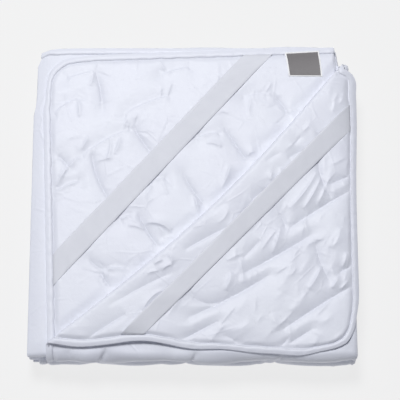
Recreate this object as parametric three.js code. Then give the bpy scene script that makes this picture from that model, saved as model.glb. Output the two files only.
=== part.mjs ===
// A quilted mattress protector, folded into a stack with one corner of its top ply turned back.
// Millimetres, +Z up. The origin is under the middle of the stack, on the surface that it lies on.
//
// The sheet is folded in half across its width with the underside inside, and in half again, which gives a
// packet of four plies. The packet is then folded back and forth along its length into five panels.
// Two coordinates follow the cloth: "across" runs through the packet's plies from the lower hem to the upper
// hem, and "along" runs from the back hem through the panels to the front hem.

import * as THREE from "three";

// Cloth
const PLY = 2.4; // thickness of the quilted sheet, pressed in the stack
const PLY_GAP = 0.4;
const PITCH = PLY + PLY_GAP;
const PRESSED_PLY = 0.9; // thickness at the edge, inside the binding
const CORNER_RADIUS = 38;
const GRID = 16.5; // spacing of the points that shape the quilting where it shows

// Edge binding: one tape folded over the edge
const SEAM = 9; // from the cloth's edge to the first full row of points
const TAPE_LIP = 8; // from the cloth's edge to the tape's inner edge
const TAPE_WALL = 0.4;
const TAPE_FOLD = 0.8; // its folded edge is fuller than its flat walls
const TAPE_GAP = 0.3;

// Corner elastics and label
const ELASTIC_THICKNESS = 1.3;
const LABEL_THICKNESS = 0.7;
const LAY_GAP = 0.35; // between the cloth and what lies on it
const LAY_STEP = 14; // length of one step of a band that lies on the cloth
const LEAST_LAY_STEPS = 3;
const LAY_SAMPLES = 8; // spots each way under one step at which the cloth's height is taken

// Quilting: two families of short lines, each starting a little beside the last one's end
const QUILT_STEP_A = new THREE.Vector2(-57.5, 55);
const QUILT_STEP_B = new THREE.Vector2(64, 60.5);
const QUILT_SHALLOW = new THREE.Vector2(60, -35);
const QUILT_STEEP = new THREE.Vector2(55, 72);
const QUILT_START_LOWER = new THREE.Vector2(112, 99); // a crossing on the lower ply, across and along
const QUILT_START_UPPER = new THREE.Vector2(-108, 122); // a crossing on the upper ply, across from its hem
const QUILT_VALLEY = -0.35; // the stitched line against the pressed sheet's face
const QUILT_PUFF = 2.1;
const QUILT_FADE = 13; // distance over which the cloth rises beside a line
const QUILT_SNAP = 0.42; // share of the spacing by which a point may move onto a line
const QUILT_SOUND = 0.12; // a triangle keeps at least this share of a grid square
const QUILT_CELLS = 2; // crossings searched each way for the nearest line
const OUTSIDE_RELIEF = 0.7; // share of the quilting that shows on the outside of a fold
const FLAP_RELIEF_ANGLE = 1.6 * Math.PI; // past this angle round the roll the quilting shows in full
const COVER_CLEAR = 0.5; // the flap presses the quilting flat from this share of the roll's radius
const COVER_FADE = 14;

// Where the edges and side folds of the packet's plies cross each line of the lengthwise folding.
// Each entry is x, y. "lower" and "upper" are the two hems, which both lie at the left.
const LINES = [
  { name: "back hem",
    lower: [-208, 194.5], inner: [176, 214], left: [-216, 206], outer: [197, 188], upper: [-203, 205] },
  { name: "upper front fold",
    lower: [-187, -195], inner: [187, -195], left: [-212, -195], outer: [190, -195], upper: [-189, -195] },
  { name: "upper back fold",
    lower: [-203, 208], inner: [176, 211], left: [-210, 208], outer: [180, 211], upper: [-202, 208] },
  { name: "lower front fold",
    lower: [-199, -194], inner: [187, -195], left: [-212, -194], outer: [190, -195], upper: [-200, -194] },
  { name: "lower back fold",
    lower: [-200, 202], inner: [180, 205], left: [-208, 202], outer: [184, 205], upper: [-201, 202] },
  { name: "front hem",
    lower: [-198, -199], inner: [184, -196], left: [-209, -198], outer: [188, -196], upper: [-199, -199] },
];

// The packet's section, from the lower hem to the upper hem. Levels and radii are in pitches from its middle.
const SECTIONS = [
  { name: "lower ply", from: "lower", to: "inner", level: 0.5, width: 378 },
  { name: "inner fold", at: "inner", side: 1, centre: 0, radius: 0.5, turn: 1 },
  { name: "second ply", from: "inner", to: "left", level: -0.5, width: 392 },
  { name: "left fold", at: "left", side: -1, centre: -1, radius: 0.5, turn: 1 },
  { name: "bottom ply", from: "left", to: "outer", level: -1.5, width: 405 },
  { name: "outer fold", at: "outer", side: 1, centre: 0, radius: 1.5, turn: -1 },
  { name: "upper ply", from: "outer", to: "upper", level: 1.5, width: 392 },
];
const LOWER_PLY = 0;
const INNER_FOLD = 1;
const SECOND_PLY = 2;
const LEFT_FOLD = 3;
const BOTTOM_PLY = 4;
const OUTER_FOLD = 5;
const UPPER_PLY = 6;
const ARC_STEPS = 4; // points along a fold of one ply
const FOLD_THIN = 0.88; // the sheet is pressed thinner where it bends
const HIDDEN_STEPS = 3; // points across a ply that doesn't show
const CORNER_STEPS = 3; // rows of points in a rounded corner
const INNER_ROWS = [0.3, 0.7]; // shares of a hidden panel's length at which it has a row of points
const BOTTOM_ROWS = [0.5];

// Lengthwise folding
const PANELS = LINES.length - 1;
const PANEL_LENGTH = 392;
const FOLD_RADIUS = 2 * PITCH;
const FOLD_LENGTH = Math.PI * FOLD_RADIUS;
const FOLD_STEPS = 5;
const LENGTH = PANELS * PANEL_LENGTH + (PANELS - 1) * FOLD_LENGTH;
const BOTTOM_LEVEL = PLY / 2 + 1.5 * PITCH; // middle of the lowest packet

// The turned-back corner of the upper ply: its crease runs from the left hem to the back hem
const CREASE_LEFT = new THREE.Vector2(-189.5, -185.5);
const CREASE_BACK = new THREE.Vector2(187, 188.5);
const CREASE_BOW = 18; // how far the crease's middle lies nearer to the front
const BOW_FADE = 70; // the hems keep to their lines except this near to the crease's ends
const ROLL_RADIUS_LEFT = 3.2;
const ROLL_RADIUS_MIDDLE = 6.2;
const ROLL_RADIUS_BACK = 4;
const ROLL_STEPS = 4;
const ROLL_SETTLE = 38; // distance over which the flap sinks from the roll
const LEAST_REACH = 0.02; // share of the corner's depth that is left at the crease's ends
const FLAP_CORNER = new THREE.Vector2(197.5, -202); // where its two hems would meet if they were square
const FLAP_LIFT = { x: -74, reach: 48, height: 9, forward: 5, from: -90, to: -195 }; // its front hem lifts
const FLAP_BULGE = { x: 13, top: 162, bottom: -200, inside: 90 }; // its side hem reaches past the stack

// The lower ply is finely divided up to a little way under the roll, as shares of the packet's width.
const COVER_OVERLAP = 1.04;
const COVER_LEAST = 0.03;
const COVER_PLAIN = 0.06;
const COVER_MOST = 0.97;
const COVERED_STEPS = 2;

// Numerical work
const SMALL_STEP = 1e-3;
const NEAR = 1e-6;
const FLAT_AREA = 1e-9;
const HALVINGS = 40;
const SHARE_RANGE = [-0.1, 1.2]; // where a row may meet a line of the roll

const clamp = THREE.MathUtils.clamp;
const lerp = THREE.MathUtils.lerp;
const smooth = THREE.MathUtils.smoothstep;

function bell(distance, reach) {
  return Math.exp(-((distance / reach) ** 2));
}

// The crease as a frame: a unit vector along it and one across it, towards the front right.
const creaseSpan = CREASE_BACK.clone().sub(CREASE_LEFT);
const creaseLength = creaseSpan.length();
const creaseAlong = creaseSpan.clone().normalize();
const creaseAcross = new THREE.Vector2(creaseAlong.y, -creaseAlong.x);

function inCreaseFrame(x, y) {
  const offset = new THREE.Vector2(x, y).sub(CREASE_LEFT);
  return { along: offset.dot(creaseAlong), across: offset.dot(creaseAcross) };
}

function fromCreaseFrame(along, across) {
  return CREASE_LEFT.clone().addScaledVector(creaseAlong, along).addScaledVector(creaseAcross, across);
}

function creaseShape(along) {
  const share = clamp(along / creaseLength, 0, 1);
  const swell = Math.sin(Math.PI * share);
  const end = lerp(ROLL_RADIUS_LEFT, ROLL_RADIUS_BACK, share);
  return { bow: CREASE_BOW * swell, radius: lerp(end, ROLL_RADIUS_MIDDLE, swell) };
}

// How far past the crease a point of the flat upper ply lies, as an angle round the roll.
// The roll takes the angles from 0 to pi, and the flap those beyond.
function rollAngle(x, y) {
  const flat = inCreaseFrame(x, y);
  const { bow, radius } = creaseShape(flat.along);
  return (bow - flat.across) / radius + Math.PI / 2;
}

const squareCorner = inCreaseFrame(LINES[0].upper[0], LINES[0].upper[1]);
const foldedCorner = inCreaseFrame(FLAP_CORNER.x, FLAP_CORNER.y);

// How far the upper ply reaches past the straight crease, at a distance along it.
function hemReach(along) {
  const left = along / squareCorner.along;
  const back = (creaseLength - along) / (creaseLength - squareCorner.along);
  return -squareCorner.across * clamp(Math.min(left, back), LEAST_REACH, 1);
}

// Turns the part of the upper ply past the crease back over itself.
function turnBack(point) {
  const angle = rollAngle(point.x, point.y);
  if (angle <= 0) return point;
  const flat = inCreaseFrame(point.x, point.y);
  const { bow, radius } = creaseShape(flat.along);
  const rollEdge = bow + (Math.PI / 2) * radius;
  if (angle < Math.PI) {
    const rolled = fromCreaseFrame(flat.along, rollEdge - radius * Math.sin(angle));
    return new THREE.Vector3(rolled.x, rolled.y, point.z + radius * (1 - Math.cos(angle)));
  }
  const past = (angle - Math.PI) * radius;
  const toHem = hemReach(flat.along);
  const foldedHem = (toHem * foldedCorner.across) / -squareCorner.across + 2 * bow * bell(toHem, BOW_FADE);
  const stretch = (foldedHem - rollEdge) / (toHem + bow - (Math.PI / 2) * radius);
  const shear = (foldedCorner.along - squareCorner.along) / -squareCorner.across;
  const plan = fromCreaseFrame(flat.along + shear * past, rollEdge + stretch * past);
  const sunk = point.z + PITCH + (2 * radius - PITCH) * bell(past, ROLL_SETTLE);
  const nearFront = smooth(-plan.y, -FLAP_LIFT.from, -FLAP_LIFT.to);
  const clear = smooth(past, 0, ROLL_SETTLE);
  const lift = FLAP_LIFT.height * bell(plan.x - FLAP_LIFT.x, FLAP_LIFT.reach) * nearFront * clear;
  const backed = smooth(CREASE_BACK.y - plan.y, 0, CREASE_BACK.y - FLAP_BULGE.top);
  const fading = clamp((plan.y - FLAP_BULGE.bottom) / (FLAP_BULGE.top - FLAP_BULGE.bottom), 0, 1);
  const outward = smooth(plan.x, FLAP_BULGE.inside, FLAP_CORNER.x) * clear;
  const bulge = FLAP_BULGE.x * backed * fading * outward;
  const forward = (FLAP_LIFT.forward / FLAP_LIFT.height) * lift;
  return new THREE.Vector3(plan.x + bulge, plan.y + forward, sunk + lift);
}

// The lengthwise stretch that holds a distance along the sheet: a panel or the fold after it.
function stretchAt(along) {
  const turn = clamp(Math.floor(along / (PANEL_LENGTH + FOLD_LENGTH)), 0, PANELS - 1);
  const rest = along - turn * (PANEL_LENGTH + FOLD_LENGTH);
  if (rest <= PANEL_LENGTH) return { panel: turn, share: rest / PANEL_LENGTH };
  return { fold: turn, angle: (Math.PI * (rest - PANEL_LENGTH)) / FOLD_LENGTH };
}

function packetLevel(panel) {
  return BOTTOM_LEVEL + 2 * FOLD_RADIUS * (PANELS - 1 - panel);
}

function lineMark(stretch, mark) {
  if (stretch.fold !== undefined) return LINES[stretch.fold + 1][mark];
  const start = LINES[stretch.panel][mark];
  const end = LINES[stretch.panel + 1][mark];
  return [lerp(start[0], end[0], stretch.share), lerp(start[1], end[1], stretch.share)];
}

// A point of the sheet's middle surface: the section, the share across it, and the distance along the sheet.
function place(section, share, along) {
  const stretch = stretchAt(along);
  const ply = SECTIONS[section];
  let x, y, level;
  if (ply.from) {
    const from = lineMark(stretch, ply.from);
    const to = lineMark(stretch, ply.to);
    x = lerp(from[0], to[0], share);
    y = lerp(from[1], to[1], share);
    level = ply.level * PITCH;
  } else {
    const radius = ply.radius * PITCH;
    const angle = Math.PI * share;
    [x, y] = lineMark(stretch, ply.at);
    x += ply.side * radius * Math.sin(angle);
    level = ply.centre * PITCH + ply.turn * radius * Math.cos(angle);
  }
  if (stretch.fold === undefined) {
    const upright = stretch.panel % 2 === 0 ? 1 : -1;
    const flat = new THREE.Vector3(x, y, packetLevel(stretch.panel) + upright * level);
    return section === UPPER_PLY && stretch.panel === 0 ? turnBack(flat) : flat;
  }
  const front = stretch.fold % 2 === 0 ? 1 : -1;
  const radius = FOLD_RADIUS + front * level;
  const axis = packetLevel(stretch.fold) - FOLD_RADIUS;
  const bulge = radius * Math.sin(stretch.angle);
  return new THREE.Vector3(x, y - front * bulge, axis + radius * Math.cos(stretch.angle));
}

// The unit normal there, on the side of the protector's top face.
function faceNormal(section, share, along) {
  const low = clamp(share - SMALL_STEP, 0, 1);
  const high = clamp(share + SMALL_STEP, 0, 1);
  const before = clamp(along - SMALL_STEP, 0, LENGTH);
  const after = clamp(along + SMALL_STEP, 0, LENGTH);
  const across = place(section, high, along).sub(place(section, low, along));
  const lengthwise = place(section, share, after).sub(place(section, share, before));
  return across.cross(lengthwise).normalize();
}

// Distance across the sheet from the nearer hem, on the lower and upper plies.
function hemDistance(point) {
  const width = SECTIONS[point.section].width;
  if (point.section === LOWER_PLY) return point.share * width;
  if (point.section === UPPER_PLY) return (1 - point.share) * width;
  return CORNER_RADIUS;
}

// Distance from the sheet's edge, with its rounded corners.
function edgeDistance(point) {
  const across = hemDistance(point);
  const along = Math.min(point.along, LENGTH - point.along);
  if (across > CORNER_RADIUS || along > CORNER_RADIUS) return Math.min(across, along);
  return CORNER_RADIUS - Math.hypot(CORNER_RADIUS - across, CORNER_RADIUS - along);
}

// How far across the row of points at a distance along the sheet starts, beside a rounded corner.
function seamInset(along) {
  const fromEnd = Math.min(along, LENGTH - along);
  if (fromEnd >= CORNER_RADIUS) return SEAM;
  const seamRadius = CORNER_RADIUS - SEAM;
  const rise = Math.min(CORNER_RADIUS - fromEnd, seamRadius);
  return CORNER_RADIUS - Math.sqrt(seamRadius ** 2 - rise ** 2);
}

// The nearest point on a quilting line, in the sheet's own coordinates.
function nearestStitch(spot, start) {
  const area = QUILT_STEP_A.cross(QUILT_STEP_B);
  const offset = spot.clone().sub(start);
  const cellA = Math.round(offset.cross(QUILT_STEP_B) / area);
  const cellB = Math.round(QUILT_STEP_A.cross(offset) / area);
  let best = { distance: Infinity, spot };
  for (let a = cellA - QUILT_CELLS; a <= cellA + QUILT_CELLS; a++) {
    for (let b = cellB - QUILT_CELLS; b <= cellB + QUILT_CELLS; b++) {
      const crossing = start.clone().addScaledVector(QUILT_STEP_A, a).addScaledVector(QUILT_STEP_B, b);
      for (const line of [QUILT_SHALLOW.clone().negate(), QUILT_STEEP]) {
        const toSpot = spot.clone().sub(crossing);
        const share = clamp(toSpot.dot(line) / line.lengthSq(), 0, 1);
        const foot = crossing.clone().addScaledVector(line, share);
        const distance = foot.distanceTo(spot);
        if (distance < best.distance) best = { distance, spot: foot };
      }
    }
  }
  return best;
}

function stitchNear(point) {
  const width = SECTIONS[point.section].width;
  const upper = point.section === UPPER_PLY;
  const across = upper ? (point.share - 1) * width : point.share * width;
  const start = upper ? QUILT_START_UPPER : QUILT_START_LOWER;
  const found = nearestStitch(new THREE.Vector2(across, point.along), start);
  const share = upper ? found.spot.x / width + 1 : found.spot.x / width;
  return { distance: found.distance, share, along: found.spot.y };
}

function puffBeside(distance) {
  return lerp(QUILT_PUFF, QUILT_VALLEY, bell(distance, QUILT_FADE));
}

// How much of the quilting shows on the underside at a point: all of it on the back left of the lower ply and
// on the flap, and none where the plies touch.
function undersideRelief(point) {
  if (point.along > PANEL_LENGTH || (point.section !== LOWER_PLY && point.section !== UPPER_PLY)) return 0;
  if (point.section === UPPER_PLY) {
    const flat = flatUpperPoint(point.share, point.along);
    return smooth(rollAngle(flat.x, flat.y), Math.PI, FLAP_RELIEF_ANGLE);
  }
  const spot = place(point.section, point.share, point.along);
  const flat = inCreaseFrame(spot.x, spot.y);
  const { bow, radius } = creaseShape(flat.along);
  const covered = COVER_CLEAR * radius;
  return smooth(bow - flat.across, covered, covered + COVER_FADE);
}

// How much of it shows on the top face: on the outside of the lengthwise folds.
function topRelief(point) {
  const stretch = stretchAt(point.along);
  const outside = stretch.fold % 2 === 0 ? UPPER_PLY : BOTTOM_PLY;
  if (stretch.fold === undefined || point.section !== outside) return 0;
  return OUTSIDE_RELIEF * Math.sqrt(Math.max(0, Math.sin(stretch.angle)));
}

// The sheet's half thickness on each side of its middle surface.
function halfThickness(point) {
  const seam = clamp((edgeDistance(point) - SEAM) / SEAM, 0, 1);
  const plain = lerp(PRESSED_PLY / 2, PLY / 2, seam);
  if (!SECTIONS[point.section].from) return { top: FOLD_THIN * plain, under: FOLD_THIN * plain };
  const folded = stretchAt(point.along).fold !== undefined;
  const top = topRelief(point) * seam;
  const under = undersideRelief(point) * seam;
  const puff = top || under ? puffBeside(stitchNear(point).distance) : 0;
  const thin = folded ? FOLD_THIN : 1;
  return { top: thin * plain + top * puff, under: thin * plain + under * puff };
}

// The upper ply as if its corner weren't turned back.
function flatUpperPoint(share, along) {
  const stretch = stretchAt(along);
  const from = lineMark(stretch, "outer");
  const to = lineMark(stretch, "upper");
  return new THREE.Vector2(lerp(from[0], to[0], share), lerp(from[1], to[1], share));
}

// Halves a range until a rising function reaches its target.
function solve(rising, target, low, high) {
  for (let i = 0; i < HALVINGS; i++) {
    const middle = (low + high) / 2;
    if (rising(middle) < target) low = middle;
    else high = middle;
  }
  return (low + high) / 2;
}

// The share across the upper ply at which a row meets a line of the roll, or more than 1 past the hem.
function creaseShare(along, angle) {
  const angleAt = (share) => {
    const flat = flatUpperPoint(share, along);
    return rollAngle(flat.x, flat.y);
  };
  return solve(angleAt, angle, ...SHARE_RANGE);
}

// The distance along the sheet at which a line of the roll meets a share across the upper ply.
function creaseDistance(share, angle) {
  return solve((along) => -creaseShare(along, angle), -share, PANEL_LENGTH, 0);
}

const rollAngles = Array.from({ length: ROLL_STEPS + 1 }, (_, i) => (Math.PI * i) / ROLL_STEPS);
const seamShare = 1 - SEAM / SECTIONS[UPPER_PLY].width;

// Rows of points: their distances along the sheet. The roll's lines end on the left seam one row apart.
function rowDistances() {
  const corner = Array.from({ length: CORNER_STEPS + 1 }, (_, i) => {
    const angle = ((Math.PI / 2) * i) / CORNER_STEPS;
    return CORNER_RADIUS - (CORNER_RADIUS - SEAM) * Math.cos(angle);
  });
  const rollRows = rollAngles.map((angle) => creaseDistance(seamShare, angle)).reverse();
  const steps = Math.round((rollRows[0] - CORNER_RADIUS) / GRID);
  const rows = [...corner];
  for (let i = 1; i < steps; i++) rows.push(lerp(CORNER_RADIUS, rollRows[0], i / steps));
  rows.push(...rollRows);
  for (let fold = 0; fold < PANELS - 1; fold++) {
    const start = fold * (PANEL_LENGTH + FOLD_LENGTH) + PANEL_LENGTH;
    for (let i = 0; i <= FOLD_STEPS; i++) rows.push(start + (FOLD_LENGTH * i) / FOLD_STEPS);
    const shares = fold === PANELS - 2 ? BOTTOM_ROWS : INNER_ROWS;
    for (const share of shares) rows.push(start + FOLD_LENGTH + PANEL_LENGTH * share);
  }
  for (const distance of corner.toReversed()) rows.push(LENGTH - distance);
  return rows;
}

function spread(section, along, from, to, count) {
  return Array.from({ length: count + 1 }, (_, i) => ({ section, share: lerp(from, to, i / count), along }));
}

function stepsFor(section, from, to, spacing) {
  return Math.max(1, Math.round((Math.abs(to - from) * SECTIONS[section].width) / spacing));
}

// One row of points as a list of chains, each starting where the last one ends.
function rowChains(along) {
  const stretch = stretchAt(along);
  const lowerSeam = seamInset(along) / SECTIONS[LOWER_PLY].width;
  const upperSeam = 1 - seamInset(along) / SECTIONS[UPPER_PLY].width;
  const turned = along <= PANEL_LENGTH;
  const crossings = turned ? rollAngles.map((angle) => creaseShare(along, angle)) : [];
  const crossed = crossings.filter((share) => share < upperSeam - NEAR);
  const roll = crossed.map((share) => ({ section: UPPER_PLY, share, along }));
  const lastPoint = { section: UPPER_PLY, share: upperSeam, along };
  const hasFlap = crossed.length === crossings.length && turned;
  const underRoll = COVER_OVERLAP - creaseShare(along, Math.PI / 2);
  const coverEdge = hasFlap ? clamp(underRoll, lowerSeam + COVER_LEAST, COVER_MOST) : lowerSeam + COVER_PLAIN;
  const shows = stretch.fold !== undefined;
  const hidden = SECTIONS[BOTTOM_PLY].width / HIDDEN_STEPS;
  const bottomSpacing = shows && stretch.fold % 2 === 1 ? 2 * GRID : hidden;
  const upperSpacing = shows && stretch.fold % 2 === 0 ? GRID : hidden;
  const fold = (section) => spread(section, along, 0, 1, ARC_STEPS);
  const lowerSteps = hasFlap ? stepsFor(LOWER_PLY, lowerSeam, coverEdge, GRID) : 1;
  const chains = [
    spread(LOWER_PLY, along, lowerSeam, coverEdge, lowerSteps),
    spread(LOWER_PLY, along, coverEdge, 1, COVERED_STEPS),
    fold(INNER_FOLD),
    spread(SECOND_PLY, along, 0, 1, HIDDEN_STEPS),
    fold(LEFT_FOLD),
    spread(BOTTOM_PLY, along, 0, 1, stepsFor(BOTTOM_PLY, 0, 1, bottomSpacing)),
    fold(OUTER_FOLD),
  ];
  const coverEnd = roll.length ? roll[0].share : upperSeam;
  chains.push(spread(UPPER_PLY, along, 0, coverEnd, stepsFor(UPPER_PLY, 0, coverEnd, upperSpacing)));
  if (!roll.length) return [...chains, [lastPoint], [lastPoint]];
  if (!hasFlap) return [...chains, [...roll, lastPoint], [lastPoint]];
  const flapStart = roll[ROLL_STEPS].share;
  const flapSteps = stepsFor(UPPER_PLY, flapStart, upperSeam, GRID);
  return [...chains, roll, spread(UPPER_PLY, along, flapStart, upperSeam, flapSteps)];
}

// The sheet's middle surface as points and triangles. Chains with the same place in two neighbouring rows are
// joined point by point, and the roll's lines are matched one to one.
function buildMiddle() {
  const points = [];
  const triangles = [];
  const rows = rowDistances().map((along) => {
    let last = -1;
    return rowChains(along).map((chain) => {
      const ids = chain.map((point, i) => {
        if (i === 0 && last >= 0) return last;
        points.push(point);
        return points.length - 1;
      });
      last = ids[ids.length - 1];
      return ids;
    });
  });
  const reach = (id) => points[id].share * (SECTIONS[points[id].section].width ?? 1);
  const rollChain = rows[0].length - 2;
  for (let r = 0; r + 1 < rows.length; r++) {
    rows[r].forEach((upper, c) => {
      const lower = rows[r + 1][c];
      let i = 0;
      let j = 0;
      while (i + 1 < upper.length || j + 1 < lower.length) {
        let first = i + 1 < upper.length;
        if (first && j + 1 < lower.length) {
          const ahead = Math.abs(reach(upper[i + 1]) - reach(lower[j]));
          const behind = Math.abs(reach(upper[i]) - reach(lower[j + 1]));
          first = c === rollChain ? i <= j : ahead <= behind;
        }
        if (first) {
          triangles.push([upper[i], upper[i + 1], lower[j]]);
          i += 1;
        } else {
          triangles.push([upper[i], lower[j + 1], lower[j]]);
          j += 1;
        }
      }
    });
  }
  return { points, triangles, rows };
}

// Moves points near a quilting line onto it, on the parts of the underside that show, unless that would turn
// a triangle over.
function snapToStitches({ points, triangles, rows }) {
  const flat = (id) => {
    const point = points[id];
    return new THREE.Vector2(point.share * (SECTIONS[point.section].width ?? 1), point.along);
  };
  const around = new Map();
  for (const triangle of triangles) {
    for (const id of triangle) {
      if (!around.has(id)) around.set(id, []);
      around.get(id).push(triangle);
    }
  }
  const sound = ([a, b, c]) => {
    const corner = flat(a);
    return flat(b).sub(corner).cross(flat(c).sub(corner)) > QUILT_SOUND * GRID * GRID;
  };
  const shown = rows.flatMap((chains) => [chains[0], chains[chains.length - 1]]);
  for (const id of shown.flatMap((ids) => ids.slice(1, -1))) {
    const point = points[id];
    const stitch = stitchNear(point);
    const tooFar = stitch.distance > QUILT_SNAP * GRID;
    if (tooFar || edgeDistance(point) < CORNER_RADIUS / 2) continue;
    const kept = { share: point.share, along: point.along };
    point.share = stitch.share;
    point.along = stitch.along;
    if (undersideRelief(point) < 0.5 || !around.get(id).every(sound)) Object.assign(point, kept);
  }
}

// The points along the sheet's seam, in order round it, each with its partner on the cloth's edge.
function edgeStations({ points, rows }) {
  const joined = (chains) => chains.flatMap((ids, i) => (i ? ids.slice(1) : ids));
  const backRow = joined(rows[0]);
  const frontRow = joined(rows[rows.length - 1]);
  const firstOf = (chains) => chains[0][0];
  const lastOf = (chains) => chains[chains.length - 1].at(-1);
  const inner = rows.slice(1, -1);
  const loop = [...backRow, ...inner.map(lastOf), ...frontRow.toReversed(), ...inner.map(firstOf).reverse()];
  return loop.map((id) => ({ seam: points[id], id, edge: edgePartner(points[id]) }));
}

// From a point on the seam straight out to the edge. On the roll the way runs along the crease instead.
function edgePartner(seam) {
  const nearBack = seam.along <= SEAM + NEAR;
  const nearFront = seam.along >= LENGTH - SEAM - NEAR;
  const { section, share, along } = seam;
  const inset = hemDistance(seam);
  const fromEnd = Math.min(along, LENGTH - along);
  const onCorner = inset < CORNER_RADIUS - NEAR && fromEnd < CORNER_RADIUS - NEAR;
  if (onCorner) {
    const scale = CORNER_RADIUS / (CORNER_RADIUS - SEAM);
    const outInset = CORNER_RADIUS - (CORNER_RADIUS - inset) * scale;
    const outEnd = CORNER_RADIUS - (CORNER_RADIUS - fromEnd) * scale;
    const width = SECTIONS[section].width;
    const outShare = section === LOWER_PLY ? outInset / width : 1 - outInset / width;
    return { section, share: outShare, along: along < LENGTH / 2 ? outEnd : LENGTH - outEnd };
  }
  const flat = section === UPPER_PLY && along <= PANEL_LENGTH ? flatUpperPoint(share, along) : null;
  const angle = flat ? rollAngle(flat.x, flat.y) : -1;
  const onRoll = angle > -SMALL_STEP && angle < Math.PI + SMALL_STEP;
  if (nearBack || nearFront) {
    const end = nearBack ? 0 : LENGTH;
    return { section, share: onRoll ? creaseShare(end, angle) : share, along: end };
  }
  const hem = section === UPPER_PLY ? 1 : 0;
  return { section, share: hem, along: onRoll ? creaseDistance(hem, angle) : along };
}

// A closed mesh from a list of corners and triangles that face out.
function closedGeometry(corners, triangles) {
  const geometry = new THREE.BufferGeometry();
  geometry.setAttribute("position", new THREE.Float32BufferAttribute(corners.flatMap((p) => p.toArray()), 3));
  geometry.setIndex(triangles.flat());
  return geometry;
}

// The pad: the middle surface with a face on each side and a rim round its edge.
function buildPad(middle, stations) {
  const { points, triangles } = middle;
  const edgeIds = stations.map((station) => points.push(station.edge) - 1);
  const faces = [...triangles];
  stations.forEach((station, i) => {
    const next = (i + 1) % stations.length;
    faces.push([edgeIds[i], edgeIds[next], station.id]);
    faces.push([edgeIds[next], stations[next].id, station.id]);
  });
  const corners = [];
  for (const point of points) {
    const centre = place(point.section, point.share, point.along);
    const normal = faceNormal(point.section, point.share, point.along);
    const half = halfThickness(point);
    corners.push(centre.clone().addScaledVector(normal, half.top));
    corners.push(centre.clone().addScaledVector(normal, -half.under));
  }
  const solid = faces.flatMap(([a, b, c]) => [
    [2 * a, 2 * b, 2 * c],
    [2 * c + 1, 2 * b + 1, 2 * a + 1],
  ]);
  edgeIds.forEach((id, i) => {
    const next = edgeIds[(i + 1) % edgeIds.length];
    solid.push([2 * id, 2 * id + 1, 2 * next + 1]);
    solid.push([2 * id, 2 * next + 1, 2 * next]);
  });
  return closedGeometry(corners, solid);
}

// The binding: a tape folded over the edge, as a U-shaped section carried once round the sheet.
function buildBinding(stations) {
  const inside = PRESSED_PLY / 2 + TAPE_GAP;
  const outside = inside + TAPE_WALL;
  const lip = SEAM - TAPE_LIP;
  const web = SEAM + TAPE_GAP;
  const section = [
    { out: web + TAPE_FOLD, up: outside },
    { out: lip, up: outside },
    { out: lip, up: inside },
    { out: web, up: inside },
    { out: web, up: -inside },
    { out: lip, up: -inside },
    { out: lip, up: -outside },
    { out: web + TAPE_FOLD, up: -outside },
  ];
  const corners = [];
  for (const { seam, edge } of stations) {
    const start = place(seam.section, seam.share, seam.along);
    const reach = place(edge.section, edge.share, edge.along).sub(start);
    const seamNormal = faceNormal(seam.section, seam.share, seam.along);
    const edgeNormal = faceNormal(edge.section, edge.share, edge.along);
    for (const { out, up } of section) {
      const normal = seamNormal.clone().lerp(edgeNormal, clamp(out / SEAM, 0, 1));
      corners.push(start.clone().addScaledVector(reach, out / SEAM).addScaledVector(normal, up));
    }
  }
  const sides = section.length;
  const triangles = [];
  stations.forEach((_, i) => {
    const here = i * sides;
    const there = ((i + 1) % stations.length) * sides;
    for (let k = 0; k < sides; k++) {
      const next = (k + 1) % sides;
      // The faces beside the cloth are split along the same diagonals as the cloth.
      if (section[k].out > section[next].out) {
        triangles.push([here + k, there + k, here + next], [there + k, there + next, here + next]);
      } else {
        triangles.push([here + k, there + k, there + next], [here + k, there + next, here + next]);
      }
    }
  });
  return closedGeometry(corners, triangles);
}

// Highest point of some meshes above a spot.
function heightAt(surfaces, x, y) {
  let best = -Infinity;
  for (const { low, high, a, b, c } of surfaces) {
    if (x < low.x || x > high.x || y < low.y || y > high.y) continue;
    const area = (b.x - a.x) * (c.y - a.y) - (b.y - a.y) * (c.x - a.x);
    if (Math.abs(area) < FLAT_AREA) continue;
    const shareB = ((x - a.x) * (c.y - a.y) - (y - a.y) * (c.x - a.x)) / area;
    const shareC = ((b.x - a.x) * (y - a.y) - (b.y - a.y) * (x - a.x)) / area;
    if (shareB < 0 || shareC < 0 || shareB + shareC > 1) continue;
    best = Math.max(best, a.z + shareB * (b.z - a.z) + shareC * (c.z - a.z));
  }
  return best;
}

function trianglesOf(geometry, above) {
  const position = geometry.getAttribute("position");
  const index = geometry.getIndex().array;
  const cornerAt = (i) => new THREE.Vector3().fromBufferAttribute(position, index[i]);
  const found = [];
  for (let i = 0; i < index.length; i += 3) {
    const [a, b, c] = [cornerAt(i), cornerAt(i + 1), cornerAt(i + 2)];
    if (Math.max(a.z, b.z, c.z) < above) continue;
    const box = new THREE.Box3().setFromPoints([a, b, c]);
    found.push({ low: box.min, high: box.max, a, b, c });
  }
  return found;
}

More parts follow.
